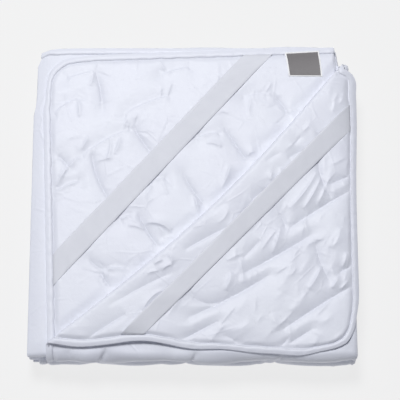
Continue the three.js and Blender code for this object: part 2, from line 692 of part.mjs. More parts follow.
// A flat band laid over the cloth: it keeps level across its width and rests on the highest puffs under it.
// Its two long edges run between the given spots.
function buildBand({ start, end }, thickness, surfaces) {
  const startSide = new THREE.Vector2(...start[0]);
  const startOther = new THREE.Vector2(...start[1]);
  const endSide = new THREE.Vector2(...end[0]);
  const endOther = new THREE.Vector2(...end[1]);
  const steps = Math.max(LEAST_LAY_STEPS, Math.round(startSide.distanceTo(endSide) / LAY_STEP));
  const spotAt = (share, across) => {
    const side = startSide.clone().lerp(endSide, share);
    return side.lerp(startOther.clone().lerp(endOther, share), across);
  };
  const heights = Array.from({ length: steps }, (_, step) => {
    let top = -Infinity;
    for (let i = 0; i <= LAY_SAMPLES; i++) {
      for (let j = 0; j <= LAY_SAMPLES; j++) {
        const spot = spotAt((step + i / LAY_SAMPLES) / steps, j / LAY_SAMPLES);
        top = Math.max(top, heightAt(surfaces, spot.x, spot.y));
      }
    }
    return top;
  });
  const corners = [];
  for (let step = 0; step <= steps; step++) {
    const before = heights[Math.max(step - 1, 0)];
    const after = heights[Math.min(step, steps - 1)];
    const under = LAY_GAP + Math.max(before, after);
    for (const across of [0, 1]) {
      const spot = spotAt(step / steps, across);
      corners.push(new THREE.Vector3(spot.x, spot.y, under));
      corners.push(new THREE.Vector3(spot.x, spot.y, under + thickness));
    }
  }
  const triangles = [];
  const wall = (a, b, c, d) => triangles.push([a, c, b], [a, d, c]);
  for (let step = 0; step < steps; step++) {
    const here = 4 * step;
    const there = here + 4;
    wall(here, there, there + 2, here + 2);
    wall(here + 1, here + 3, there + 3, there + 1);
    wall(here, here + 1, there + 1, there);
    wall(here + 2, there + 2, there + 3, here + 3);
  }
  const last = 4 * steps;
  wall(0, 2, 3, 1);
  wall(last, last + 1, last + 3, last + 2);
  return closedGeometry(corners, triangles);
}

// Where the bands lie: the two corners of each end, in plan.
const ELASTIC_BACK = { start: [[59, 200.5], [97, 202.5]], end: [[-185.2, -72], [-183, -113]] };
const ELASTIC_FRONT = { start: [[194.6, 131], [194.8, 95]], end: [[-97, -175.8], [-69, -176]] };
const LABEL = { start: [[116, 202.5], [157.5, 205]], end: [[118.5, 173], [159, 172]] };

function named(name, geometry, colour, roughness) {
  const material = new THREE.MeshStandardMaterial({ color: colour, roughness, metalness: 0 });
  const mesh = new THREE.Mesh(geometry, material);
  mesh.name = name;
  return mesh;
}

function buildProtector() {
  const middle = buildMiddle();
  snapToStitches(middle);
  const stations = edgeStations(middle);
  const pad = buildPad(middle, stations);
  const binding = buildBinding(stations);
  const topPlies = packetLevel(0);
  const surfaces = [...trianglesOf(pad, topPlies), ...trianglesOf(binding, topPlies)];
  const protector = new THREE.Group();
  protector.add(
    named("pad", pad, 0xe6e8f2, 0.75),
    named("binding", binding, 0xe9ebf3, 0.6),
    named("elastic_back", buildBand(ELASTIC_BACK, ELASTIC_THICKNESS, surfaces), 0xd9dce2, 0.85),
    named("elastic_front", buildBand(ELASTIC_FRONT, ELASTIC_THICKNESS, surfaces), 0xd9dce2, 0.85),
    named("label", buildBand(LABEL, LABEL_THICKNESS, surfaces), 0x7e7874, 0.9),
  );
  return protector;
}

export default buildProtector();
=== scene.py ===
# %% [markdown]
# # A folded, quilted mattress protector
# The real object is one big quilted sheet, about 1.6 by 2.0 m, with a narrow binding round its edge and an
# elastic across each corner. Folded for the shelf it is a square stack of twenty plies, and the corner of the
# top ply is turned back, so that two elastics show. The solid model already has the stack's size and folds.
# Here every piece is made again as cloth, in the same place, and gets its own finish.

# %% Load the solid model
import math

import bmesh
import bpy
import numpy as np
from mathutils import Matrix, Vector
from mathutils.bvhtree import BVHTree


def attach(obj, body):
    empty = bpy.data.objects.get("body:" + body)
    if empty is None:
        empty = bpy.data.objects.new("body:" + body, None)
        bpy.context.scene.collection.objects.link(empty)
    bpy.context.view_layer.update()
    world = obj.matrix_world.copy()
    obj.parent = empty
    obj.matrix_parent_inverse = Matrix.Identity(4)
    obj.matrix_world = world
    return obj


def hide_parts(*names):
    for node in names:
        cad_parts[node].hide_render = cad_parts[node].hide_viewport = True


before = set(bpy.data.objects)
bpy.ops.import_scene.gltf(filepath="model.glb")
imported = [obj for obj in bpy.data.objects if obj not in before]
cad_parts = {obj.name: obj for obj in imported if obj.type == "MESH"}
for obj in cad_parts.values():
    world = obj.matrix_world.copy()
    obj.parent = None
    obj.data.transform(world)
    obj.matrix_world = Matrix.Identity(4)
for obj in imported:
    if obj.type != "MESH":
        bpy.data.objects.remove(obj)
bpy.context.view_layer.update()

print("solid pieces:", sorted(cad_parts))

# %% [markdown]
# ## The camera
# The stack is seen from the front and nearly from above. A long lens at 1.7 m keeps its sides almost
# parallel, as a product photograph does. The camera comes first, so that each piece can be judged in the
# same view.

# %% Camera
ELEVATION = math.radians(72)
VIEW_DISTANCE = 1.7
AIM = Vector((0, 0, 0.054))
IMAGE_WIDTH = 400  # pixels
FOCAL_PIXELS = 1330


def add_object(name, data):
    thing = bpy.data.objects.new(name, data)
    bpy.context.scene.collection.objects.link(thing)
    return thing


lens = bpy.data.cameras.new("camera")
lens.sensor_width = 36
lens.lens = FOCAL_PIXELS / IMAGE_WIDTH * lens.sensor_width
camera = add_object("camera", lens)
camera.location = AIM + VIEW_DISTANCE * Vector((0, -math.cos(ELEVATION), math.sin(ELEVATION)))
camera.rotation_euler = (math.pi / 2 - ELEVATION, 0, 0)
bpy.context.scene.camera = camera
print("lens:", round(lens.lens, 1), "mm")

# %% [markdown]
# ## How the sheet is folded
# A maker folds the sheet twice across its width, underside inside, which gives a packet of four plies, and
# then back and forth along its length. It could be folded by cloth simulation, but twenty plies would take an
# hour and never lie square. So the folding is written as a rule: a table says where each hem and each side
# fold of the packet crosses the lengthwise folds, and a function carries any spot of the flat sheet to its
# place in the stack. The tables are in millimetres, as a maker would note them.

# %% Sizes of the folded sheet
MM = 0.001
PLY = 2.4  # thickness of the quilted sheet, pressed
PRESSED_EDGE = 0.9
PITCH = 2.8  # from one ply to the next
PANEL = 392  # length between two lengthwise folds
FOLD_RADIUS = 2 * PITCH
FOLD = math.pi * FOLD_RADIUS
PANELS = 5
LENGTH = PANELS * PANEL + (PANELS - 1) * FOLD
CORNER_RADIUS = 38
SEAM = 9  # from the edge to where the sheet reaches its thickness

# Where the hems and side folds cross the back hem, the four lengthwise folds and the front hem: x and y.
LINES = {
    "lower": [(-208, 200), (-187, -195), (-203, 208), (-199, -194), (-200, 202), (-198, -199)],
    "inner": [(176, 214), (187, -195), (176, 211), (187, -195), (180, 205), (184, -196)],
    "left": [(-217, 214), (-212, -195), (-210, 208), (-212, -194), (-208, 202), (-209, -198)],
    "outer": [(191, 188), (190, -195), (180, 211), (190, -195), (184, 205), (188, -196)],
    "upper": [(-203, 205), (-189, -195), (-202, 208), (-200, -194), (-201, 202), (-199, -199)],
}

# The packet's section from the lower hem to the upper hem; levels and radii in pitches from its middle.
SECTIONS = [
    {"name": "lower ply", "from": "lower", "to": "inner", "level": 0.5, "width": 378},
    {"name": "inner fold", "at": "inner", "side": 1, "centre": 0, "radius": 0.5, "turn": 1},
    {"name": "second ply", "from": "inner", "to": "left", "level": -0.5, "width": 392},
    {"name": "left fold", "at": "left", "side": -1, "centre": -1, "radius": 0.5, "turn": 1},
    {"name": "bottom ply", "from": "left", "to": "outer", "level": -1.5, "width": 405},
    {"name": "outer fold", "at": "outer", "side": 1, "centre": 0, "radius": 1.5, "turn": -1},
    {"name": "upper ply", "from": "outer", "to": "upper", "level": 1.5, "width": 392},
]
LOWER_PLY, BOTTOM_PLY, UPPER_PLY = 0, 4, 6
for part in SECTIONS:
    part.setdefault("width", math.pi * part.get("radius", 0) * PITCH)
SECTION_WIDTHS = np.array([part["width"] for part in SECTIONS])
SECTION_STARTS = np.concatenate([[0], np.cumsum(SECTION_WIDTHS)])
WIDTH = SECTION_STARTS[-1]
print(f"flat sheet: {WIDTH:.0f} by {LENGTH:.0f} mm")

# %% Small helpers: blends and the frame of the turned-back corner's crease
def smoothstep(value, start, end):
    share = np.clip((value - start) / (end - start), 0, 1)
    return share * share * (3 - 2 * share)


def bell(distance, reach):
    return np.exp(-((distance / reach) ** 2))


def blend(start, end, share):
    return start + (end - start) * share


CREASE_LEFT = np.array([-189.5, -185.5])
CREASE_BACK = np.array([187.0, 188.5])
CREASE_LENGTH = float(np.linalg.norm(CREASE_BACK - CREASE_LEFT))
CREASE_ALONG = (CREASE_BACK - CREASE_LEFT) / CREASE_LENGTH
CREASE_ACROSS = np.array([CREASE_ALONG[1], -CREASE_ALONG[0]])


def in_crease_frame(x, y):
    offset = np.stack([x, y], axis=-1) - CREASE_LEFT
    return offset @ CREASE_ALONG, offset @ CREASE_ACROSS


def from_crease_frame(along, across):
    spot = CREASE_LEFT + along[..., None] * CREASE_ALONG + across[..., None] * CREASE_ACROSS
    return spot[..., 0], spot[..., 1]


# %% The turned-back corner: a soft roll, then the flap that lies on the stack
CREASE_BOW = 18  # how far the crease's middle lies nearer to the front
BOW_FADE = 70
ROLL_RADIUS = {"ends": 2.6, "middle": 3.4}
ROLL_SETTLE = 38
LEAST_REACH = 0.02  # keeps the flap's stretch finite at the crease's two ends
FLAP_CORNER = np.array([197.5, -202.0])  # where the flap's two hems would meet if they were square
FLAP_LIFT = {"x": -74, "reach": 50, "up": 3.4, "back": 10, "front": (90, 195)}
FLAP_BULGE = {"x": 13, "top": 170, "bottom": -200, "inside": 90}
FLAP_SHOULDER = {"x": 11, "back": 3, "y": 166, "reach": 18, "clear": 7}
FLAP_ROUNDING = {"in": 10, "diagonal": (-60, -12)}
SQUARE_CORNER = in_crease_frame(*np.array(LINES["upper"][0], dtype=float))
FOLDED_CORNER = in_crease_frame(*FLAP_CORNER)


def pulled_in(diagonal, pull):
    """The step in x and in y that draws a corner in, for spots that lie so far out along its diagonal."""
    return pull["in"] / math.sqrt(2) * smoothstep(diagonal, *pull["diagonal"])


def crease_shape(along):
    swell = np.sin(np.pi * np.clip(along / CREASE_LENGTH, 0, 1))
    return CREASE_BOW * swell, blend(ROLL_RADIUS["ends"], ROLL_RADIUS["middle"], swell)


def roll_angle(x, y):
    """How far past the crease a spot of the flat upper ply lies, as an angle round the roll."""
    along, across = in_crease_frame(x, y)
    bow, radius = crease_shape(along)
    return (bow - across) / radius + np.pi / 2


def hem_reach(along):
    left = along / SQUARE_CORNER[0]
    back = (CREASE_LENGTH - along) / (CREASE_LENGTH - SQUARE_CORNER[0])
    return -SQUARE_CORNER[1] * np.clip(np.minimum(left, back), LEAST_REACH, 1)


def turn_back(x, y, z):
    """Carries the part of the upper ply past the crease over the roll and back onto the stack."""
    angle = roll_angle(x, y)
    along, _ = in_crease_frame(x, y)
    bow, radius = crease_shape(along)
    roll_edge = bow + np.pi / 2 * radius
    bent = np.clip(angle, 0, np.pi)
    rolled_x, rolled_y = from_crease_frame(along, roll_edge - radius * np.sin(bent))

    # Past the roll the cloth is stretched and sheared a little, so that its hems come where they show.
    past = np.maximum(0, angle - np.pi) * radius
    to_hem = hem_reach(along)
    folded_hem = to_hem * FOLDED_CORNER[1] / -SQUARE_CORNER[1] + 2 * bow * bell(to_hem, BOW_FADE)
    stretch = (folded_hem - roll_edge) / (to_hem + bow - np.pi / 2 * radius)
    shear = (FOLDED_CORNER[0] - SQUARE_CORNER[0]) / -SQUARE_CORNER[1]
    flap_x, flap_y = from_crease_frame(along + shear * past, roll_edge + stretch * past)
    sunk = z + PITCH + (2 * radius - PITCH) * bell(past, ROLL_SETTLE)

    # Its corner is rounded, its front hem lifts, its side bulges and its back end has a shoulder.
    drawn_in = pulled_in((flap_x - FLAP_CORNER[0] - flap_y + FLAP_CORNER[1]) / math.sqrt(2), FLAP_ROUNDING)
    flap_x, flap_y = flap_x - drawn_in, flap_y + drawn_in
    clear = smoothstep(past, 0, ROLL_SETTLE)
    near_front = smoothstep(-flap_y, *FLAP_LIFT["front"])
    raised = bell(flap_x - FLAP_LIFT["x"], FLAP_LIFT["reach"]) * near_front * clear
    backed = smoothstep(CREASE_BACK[1] - flap_y, 0, CREASE_BACK[1] - FLAP_BULGE["top"])
    fading = np.clip((flap_y - FLAP_BULGE["bottom"]) / (FLAP_BULGE["top"] - FLAP_BULGE["bottom"]), 0, 1)
    bulge = backed * fading * smoothstep(flap_x, FLAP_BULGE["inside"], FLAP_CORNER[0]) * clear
    shoulder = bell(flap_y - FLAP_SHOULDER["y"], FLAP_SHOULDER["reach"])
    shoulder = shoulder * smoothstep(past, 0, FLAP_SHOULDER["clear"])
    flap_x = flap_x + FLAP_BULGE["x"] * bulge + FLAP_SHOULDER["x"] * shoulder
    flap_y = flap_y + FLAP_LIFT["back"] * raised + FLAP_SHOULDER["back"] * shoulder
    flap_z = sunk + FLAP_LIFT["up"] * raised

    rolled = (rolled_x, rolled_y, z + radius * (1 - np.cos(bent)))
    ways = zip((x, y, z), rolled, (flap_x, flap_y, flap_z))
    return [np.where(angle > np.pi, flap, np.where(angle > 0, roll, flat)) for flat, roll, flap in ways]


# %% What no hand makes even: sunken edges, a pushed-in corner, a side that steps in, wavy front folds
# "in" is a distance, and pairs say where it sets in and where it is reached.
SUNKEN_EDGE = {"share": 0.085, "reach": 42, "left": -217, "right": 203, "front": -206, "back": 222}
SUNKEN_CORNER = {"share": 0.06, "reach": 40, "x": -215, "y": 206}
SUNKEN_RIGHT = {"share": 0.07, "reach": 24}
MOST_SUNKEN = 1.1
CORNER_PUSH = {"in": 6.5, "diagonal": (290, 303)}  # at the back left
LOWER_CORNER = {"in": 5, "diagonal": (232, 274)}  # the lower ply's own corner is drawn in further
BACK_PINCH = {"in": 8, "x": (150, 184), "y": (186, 214), "z": (40, 44)}  # the lower packets, back right
SIDE_STEP = {"in": 3.5, "left": (193, 211), "y": (124, 138)}
FRONT_WAVE = {"depth": 1.1, "front": (178, 200), "lean": 2.0, "z": (6, 40)}
WAVES = [(19, 0, 0, 1), (11.3, 2, 0, 0.6), (31, 0, 1 / 6, 0.8)]  # length, phase, phase per mm up, size


def uneven(x, y, z):
    pushed = pulled_in((y - x) / math.sqrt(2), CORNER_PUSH)
    pinched = BACK_PINCH["in"] * smoothstep(x, *BACK_PINCH["x"]) * smoothstep(y, *BACK_PINCH["y"])
    pinched = pinched * (1 - smoothstep(z, *BACK_PINCH["z"]))
    stepped = SIDE_STEP["in"] * smoothstep(y, *SIDE_STEP["y"]) * smoothstep(-x, *SIDE_STEP["left"])
    run = x + FRONT_WAVE["lean"] * z
    wave = sum(size * np.sin(run / length + phase + rise * z) for length, phase, rise, size in WAVES)
    wave = FRONT_WAVE["depth"] * wave * smoothstep(-y, *FRONT_WAVE["front"]) * smoothstep(z, *FRONT_WAVE["z"])
    to_right = SUNKEN_EDGE["right"] - x
    to_side = np.minimum(x - SUNKEN_EDGE["left"], to_right)
    to_edge = np.minimum(to_side, np.minimum(y - SUNKEN_EDGE["front"], SUNKEN_EDGE["back"] - y))
    to_corner = np.hypot(x - SUNKEN_CORNER["x"], y - SUNKEN_CORNER["y"])
    sunken = SUNKEN_CORNER["share"] * bell(to_corner, SUNKEN_CORNER["reach"])
    for edge, distance in ((SUNKEN_EDGE, to_edge), (SUNKEN_RIGHT, to_right)):
        sunken = sunken + edge["share"] * np.clip(1 - distance / edge["reach"], 0, MOST_SUNKEN) ** 2
    return x + pushed + stepped - pinched, y - pushed + wave, z * (1 - sunken)


# %% The folding rule: any spot of the flat sheet to its place in the stack
def packet_level(turn):
    """The height of a packet's middle; its bottom ply lies 1.5 pitches lower."""
    return PLY / 2 + 1.5 * PITCH + 2 * FOLD_RADIUS * (PANELS - 1 - turn)


def lengthwise(along):
    """The panel or fold that holds a distance along the sheet, the share of the panel, the fold's angle."""
    turn = np.clip(np.floor(along / (PANEL + FOLD)), 0, PANELS - 1).astype(int)
    rest = along - turn * (PANEL + FOLD)
    return turn, np.clip(rest / PANEL, 0, 1), np.maximum(0, rest - PANEL) * np.pi / FOLD


def mark_at(turn, share, name):
    table = np.array(LINES[name], dtype=float)
    return blend(table[turn], table[turn + 1], share[:, None])


def plan_on_ply(part, turn, share, ratio):
    """x and y where the lengthwise folds' bend is left out; ratio is the share of the way over the ply."""
    return blend(mark_at(turn, share, part["from"]), mark_at(turn, share, part["to"]), ratio[:, None]).T


def section_of(across):
    return np.clip(np.searchsorted(SECTION_STARTS, across, side="right") - 1, 0, len(SECTIONS) - 1)


def place(across, along):
    """The middle of the sheet's thickness, in millimetres, for arrays of flat positions."""
    across = np.clip(across, 0, WIDTH)
    along = np.clip(along, 0, LENGTH)
    turn, share, angle = lengthwise(along)
    section = section_of(across)
    x, y, level = (np.zeros(len(across)) for _ in range(3))
    for number, part in enumerate(SECTIONS):
        here = section == number
        ratio = (across[here] - SECTION_STARTS[number]) / part["width"]
        if "from" in part:
            x[here], y[here] = plan_on_ply(part, turn[here], share[here], ratio)
            level[here] = part["level"] * PITCH
        else:
            radius = part["radius"] * PITCH
            mark = mark_at(turn[here], share[here], part["at"])
            x[here] = mark[:, 0] + part["side"] * radius * np.sin(np.pi * ratio)
            y[here] = mark[:, 1]
            level[here] = part["centre"] * PITCH + part["turn"] * radius * np.cos(np.pi * ratio)
    front = np.where(turn % 2 == 0, 1, -1)
    radius = FOLD_RADIUS + front * level
    y = y - front * radius * np.sin(angle)
    z = packet_level(turn) - FOLD_RADIUS + radius * np.cos(angle)
    top = (section == UPPER_PLY) & (turn == 0) & (angle == 0)
    x[top], y[top], z[top] = turn_back(x[top], y[top], z[top])
    lower = (section == LOWER_PLY) & (turn == 0) & (angle == 0)
    drawn_in = pulled_in((y[lower] - x[lower]) / math.sqrt(2), LOWER_CORNER)
    x[lower], y[lower] = x[lower] + drawn_in, y[lower] - drawn_in
    x, y, z = uneven(x, y, z)
    return np.stack([x, y, z], axis=1)


def unit(rows):
    return rows / np.linalg.norm(rows, axis=1, keepdims=True)


def top_normal(across, along, step=0.02):
    """The direction away from the sheet on the side of the protector's top face."""
    wide = place(across + step, along) - place(across - step, along)
    long = place(across, along + step) - place(across, along - step)
    return unit(np.cross(wide, long))


# %% [markdown]
# ## The quilting and its creases
# Short seams hold the two cloths and the wadding together. Between them the cloth swells; at the thread it is
# pulled down and gathered, so fine creases run out from every seam, and taut folds cross the turned-back
# corner. A cloth simulation gives creases of its own choice. Here the seams and the main creases are placed
# where they lie on the real sheet, and only the small ones are scattered. Each crease is a soft
# ridge or trough with a gentle flank on its left and a steep one on its right.

# %% The seams, listed in plan, in millimetres
# A row gives start, end, height, the widths of its gentle and its steep flank, and how far it bows out.
LOWER_SEAMS = [
    ((-190, 119), (-160, 140), 1.3, 1, 6, 2),
    ((-98, 118), (-41, 144), 1.3, 1.2, 8, 2),
    ((-51, 174), (-15, 185), 1.1, 1.1, 7, 0),
    ((-152, 61), (-92, 97), 1.4, 1.1, 7, 2),
    ((-188, 8), (-155, 26), 1.2, 1.1, 6, 2),
    ((-176, 169), (-138, 180), 1.0, 1, 5, 0),
    ((-47, -50), (-5, -34), 1.3, 1.2, 5, -3),
    ((-4, 82), (24, 91), 1.2, 1.1, 5, 3),
    ((80, 72), (101, 77), 1.2, 1.2, 5, 1),
    ((112, 120), (136, 124), 1.0, 1.2, 5, 1),
    ((58, 141), (86, 145), 0.7, 1.2, 6, 2),
    ((-101, -26), (-88, -20), 1.1, 1, 4, 1),
    ((-62, 24), (-45, 30), 1.0, 1, 4, 1),
    ((-118, -93), (-88, -93), 1.2, 1.2, 5, 3),
    ((-138, 178), (-128, 125), -0.9, 2.0, 1.2, 2),
    ((-88, 103), (-62, 63), -0.9, 2.2, 1.2, -1),
    ((-140, 64), (-117, 2), -1.0, 2.4, 1.2, -4),
    ((-184, 61), (-168, 43), -0.9, 3.0, 1.6, 1),
    ((-22, 36), (12, -14), -0.9, 2.2, 1.2, -2),
    ((32, 99), (68, 44), -1.0, 2.2, 1.2, -1),
    ((96, 146), (118, 111), -0.9, 2.4, 1.3, 2),
    ((-79, -16), (-46, -69), -1.1, 2.4, 1.2, -3),
    ((-125, -94), (-108, -119), -0.9, 2.4, 1.3, -2),
    ((-139, -78), (-120, -92), -0.9, 2.6, 1.4, -2),
]
UPPER_SEAMS = [
    ((-25, -184), (22, -159), -1.7, 5, 1.7, 0),
    ((-13, -154), (87, -100), -1.9, 5, 1.7, -2),
    ((54, -98), (140, -48), -1.9, 5, 1.7, -1),
    ((111, -40), (192, 12), -1.9, 5, 1.7, 1),
    ((102, -170), (191, -113), -1.9, 5, 1.7, 1),
    ((110, -187), (139, -169), -1.4, 4.5, 1.7, 0),
    ((174, -97), (195, -85), -1.5, 4.5, 1.7, 0),
    ((166, 20), (192, 32), -1.5, 4.5, 1.7, 0),
    ((146, -59), (162, -106), -1.3, 3.0, 2.0, -3),
    ((152, 49), (167, 2), -1.3, 3.0, 2.0, -3),
    ((101, -19), (109, -40), -1.2, 3.0, 2.0, 1),
    ((-9, -129), (24, -137), -1.2, 3.0, 2.0, -3),
    ((30, -177), (53, -193), -0.8, 4.0, 3.0, 2),
]

# %% The main folds and creases, listed in the same way
LOWER_FOLDS = [
    ((-146, 88), (-154, 69), 0.9, 3.5, 1.2, 1),
    ((-157, 58), (-184, 19), 1.5, 5, 1.4, -3),
    ((-160, 138), (-158, 114), 1.0, 4, 1.4, 1),
    ((-104, 86), (-111, 62), 0.9, 3.5, 1.2, 1),
    ((-116, 83), (-121, 53), 0.9, 3.5, 1.3, 2),
    ((39, 48), (26, 13), 1.4, 5, 1.4, 2),
    ((-8, 8), (-2, -31), 1.6, 4, 1.6, 2),
    ((-70, -31), (-36, -43), 1.5, 5, 1.4, 5),
    ((-141, 176), (-145, 158), 0.8, 3.5, 1.4, 1),
    ((-33, -55), (-16, -45), 1.1, 4, 1.2, 0),
    ((8, 78), (28, 72), 0.8, 4, 1.4, 2),
    ((-92, -34), (-70, -40), 0.8, 4, 1.4, 2),
    ((-60, 24), (-72, 4), 0.6, 4, 1.6, 1),
    ((60, 60), (72, 66), 0.8, 4, 1.5, 1),
]
UPPER_FOLDS = [
    ((-142, -184), (-92, -151), -2.6, 9, 1.8, 1),
    ((-113, -141), (-31, -96), -1.3, 5, 1.6, 2),
    ((-71, -147), (-46, -120), 1.5, 4, 1.8, 4),
    ((-57, -88), (-47, -82), 1.3, 3, 1.4, 1),
    ((-41, -73), (-35, -88), 1.3, 3, 1.4, 2),
    ((-48, -96), (-34, -88), 1.4, 3, 1.4, 2),
    ((-66, -100), (-52, -96), 1.0, 3, 1.4, 1),
    ((66, -2), (97, 20), -2.0, 6, 1.8, 1),
    ((52, -25), (73, -5), -2.2, 5, 2.4, 1),
    ((90, 24), (92, 35), 1.2, 3, 1.6, 0),
    ((102, 41), (104, 29), 1.2, 3, 1.6, 0),
    ((113, 54), (137, 66), -1.5, 6, 2.0, 1),
    ((140, 99), (150, 85), 1.2, 4, 1.8, 1),
    ((-20, -69), (35, -38), -2.2, 8, 1.8, 1),
    ((7, -24), (34, -7), -1.2, 8, 3.0, 1),
    ((175, 136), (171, 117), 1.0, 4, 1.8, 1),
    ((186, 145), (181, 129), 1.0, 4, 1.8, 1),
    ((120, 72), (131, 84), -1.2, 5, 2.0, 0),
    ((84, 50), (104, 62), -1.0, 6, 2.4, 0),
    ((150, 37), (113, -14), 2.2, 5, 3.0, 3),
    ((156, 32), (131, -14), 2.2, 5, 2.6, 2),
    ((162, 20), (149, -8), 1.6, 5, 2.4, 1),
    ((153, -86), (135, -119), 2.2, 6, 2.2, 2),
    ((178, -38), (166, -66), 1.4, 7, 4.0, 2),
    ((184, -70), (178, -91), 1.8, 5, 2.4, 1),
    ((102, -38), (91, -72), 1.8, 6, 2.4, 1),
    ((39, -96), (31, -120), 1.7, 6, 2.2, 2),
    ((50, -80), (54, -112), 1.5, 5, 2.4, 1),
    ((54, -79), (76, -55), -1.6, 5, 2.4, 0),
    ((78, -198), (111, -177), -1.8, 5, 3.0, -5),
    ((185, -106), (174, -119), 1.6, 4, 1.8, 1),
    ((173, -101), (164, -117), 1.6, 4, 1.8, 1),
    ((121, -64), (98, -120), 1.5, 11, 6.0, 3),
    ((140, -70), (124, -100), 1.0, 9, 5.0, 2),
    ((133, -126), (113, -146), 1.3, 8, 4.0, 2),
    ((64, -160), (31, -172), 0.9, 7, 4.0, 3),
    ((88, -150), (94, -172), 0.9, 7, 4.0, 2),
    ((60, -120), (44, -150), 0.9, 8, 5.0, 2),
]


def crease_rows(table):
    return np.array([[*start, *end, *rest] for start, end, *rest in table], dtype=float)


hand_placed = {
    "lower": {"seams": crease_rows(LOWER_SEAMS), "folds": crease_rows(LOWER_FOLDS)},
    "upper": {"seams": crease_rows(UPPER_SEAMS), "folds": crease_rows(UPPER_FOLDS)},
}
for ply, kinds in hand_placed.items():
    print("hand-placed on the", ply, "ply:", {kind: len(rows) for kind, rows in kinds.items()})

# %% The small creases: puckers that fan out from the seams, and slight crumples between them
rng = np.random.default_rng(7)
PUCKERS = {"lower": 3, "upper": 4, "front": 5, "back": 2}  # on each side of a seam
PUCKER_LENGTH = (7, 28)
PUCKER_HEIGHT = (0.15, 0.55)
PUCKER_LEAN = 0.9  # how far those at a seam's ends lean outwards
CRUMPLES = {
    "lower": {"count": 90, "low": (-195, -190), "high": (130, 190), "heading": 20, "spread": 70,
              "length": (12, 45), "height": (0.1, 0.3)},
    "upper": {"count": 110, "low": (-100, -200), "high": (200, 150), "heading": 52, "spread": 16,
              "length": (14, 50), "height": (0.2, 0.75)},
}


def scatter_puckers(rows, each_side):
    """Fine creases that run out from both sides of each seam, most of them near its ends."""
    found = []
    for start, end in zip(rows[:, :2], rows[:, 2:4]):
        way = (end - start) / np.linalg.norm(end - start)
        for side in (-1, 1):
            out = side * np.array([way[1], -way[0]])
            for _ in range(each_side):
                share = 0.5 + 0.5 * rng.choice([-1, 1]) * rng.uniform(0, 1) ** 0.5
                heading = out + way * (PUCKER_LEAN * (2 * share - 1) + rng.normal(0, 0.35))
                size = rng.uniform(0, 1) ** 2
                foot = start + share * (end - start)
                tip = foot + heading / np.linalg.norm(heading) * blend(*PUCKER_LENGTH, size)
                height = blend(*PUCKER_HEIGHT, size) * rng.choice([1, 1, -0.7])
                found.append([*foot, *tip, height, 1.2 + 1.2 * size, 0.7 + 0.3 * size, rng.normal(0, 1)])
    return found


def scatter_crumples(count, low, high, heading, spread, length, height):
    found = []
    for _ in range(count):
        middle = rng.uniform(low, high)
        angle = math.radians(rng.normal(heading, spread))
        half = rng.uniform(*length) / 2 * np.array([math.cos(angle), math.sin(angle)])
        flanks = rng.uniform(2, 6), rng.uniform(0.8, 2)
        found.append([*(middle - half), *(middle + half), rng.uniform(*height), *flanks, rng.normal(0, 2)])
    return found


creases = {}
for ply, kinds in hand_placed.items():
    small = scatter_puckers(kinds["seams"], PUCKERS[ply]) + scatter_crumples(**CRUMPLES[ply])
    creases[ply] = np.vstack([kinds["seams"], kinds["folds"], small])
    print("creases in all on the", ply, "ply:", len(creases[ply]))

# %% The height of the creased cloth
CREASE_SIZE = {"lower": 1.7, "upper": 1.15, "front": 1.6}  # the creases' heights are scaled by this
CREST_ROUND = 0.4
SEAM_DEPTH = -0.5
PUFF = 1.9
PUFF_REACH = 13.0
CHUNK = 2500  # so many spots are worked on at once


def beside(spots, rows):
    """For each spot and row: the share of the way along it, the distance to its left, and its length."""
    span = rows[:, 2:4] - rows[:, :2]
    length = np.linalg.norm(span, axis=1)
    way = span / length[:, None]
    offset = spots[:, None, :] - rows[:, :2]
    run = (offset * way).sum(axis=2) / length
    left = offset[..., 1] * way[:, 0] - offset[..., 0] * way[:, 1]
    return run, left - rows[:, 7] * np.clip(4 * run * (1 - run), 0, 1), length


def in_chunks(spots, rows, measure):
    parts = [measure(*beside(spots[i:i + CHUNK], rows)) for i in range(0, len(spots), CHUNK)]
    return np.concatenate([np.zeros(0), *parts])


def crease_height(spots, rows):
    height, gentle, steep = rows[:, 4], rows[:, 5], rows[:, 6]

    def ridges(run, left, _):
        off_crest = np.sqrt(left**2 + CREST_ROUND**2) - CREST_ROUND
        ridge = np.exp(-off_crest / np.where(left > 0, gentle, steep))
        return (height * ridge * np.clip(4 * run * (1 - run), 0, 1) ** 0.6).sum(axis=1)

    return in_chunks(spots, rows, ridges)


def seam_distance(spots, rows):
    def nearest(run, left, length):
        return np.hypot(left, np.maximum(0, np.abs(run - 0.5) - 0.5) * length).min(axis=1)

    return in_chunks(spots, rows, nearest)


def quilted_height(spots, seam_rows, all_rows, size):
    """How high the cloth stands over the pressed sheet."""
    distance = seam_distance(spots, seam_rows)
    puff = SEAM_DEPTH + (PUFF - SEAM_DEPTH) * (1 - np.exp(-((distance / PUFF_REACH) ** 1.3)))
    return puff + size * crease_height(spots, all_rows)


# %% The seams that cross the front and back folds, on a regular lattice of the flat sheet
LATTICE_START = np.array([WIDTH - 108.0, 122.0])
LATTICE_STEPS = np.array([[-57.5, 55.0], [64.0, 60.5]])
LATTICE_SEAMS = [((-60, 35), -2.2, 1.8, 1.8, 2), ((55, 72), -1.8, 2.0, 1.6, 5)]
LATTICE_COUNT = 14  # steps each way that reach every ply
LATTICE_MARGIN = 90
LATTICE_WANDER = 2.5


def lattice_rows(ply):
    low = np.array([SECTION_STARTS[ply], PANEL]) - LATTICE_MARGIN
    high = np.array([SECTION_STARTS[ply + 1], PANEL + FOLD]) + LATTICE_MARGIN
    rows = []
    for a in range(-LATTICE_COUNT, LATTICE_COUNT + 1):
        for b in range(-LATTICE_COUNT, LATTICE_COUNT + 1):
            crossing = LATTICE_START + np.array([a, b]) @ LATTICE_STEPS
            if (crossing > low).all() and (crossing < high).all():
                for reach, *shape in LATTICE_SEAMS:
                    foot = crossing + rng.normal(0, LATTICE_WANDER, 2)
                    rows.append([*foot, *(foot + reach), *shape])
    return np.array(rows)


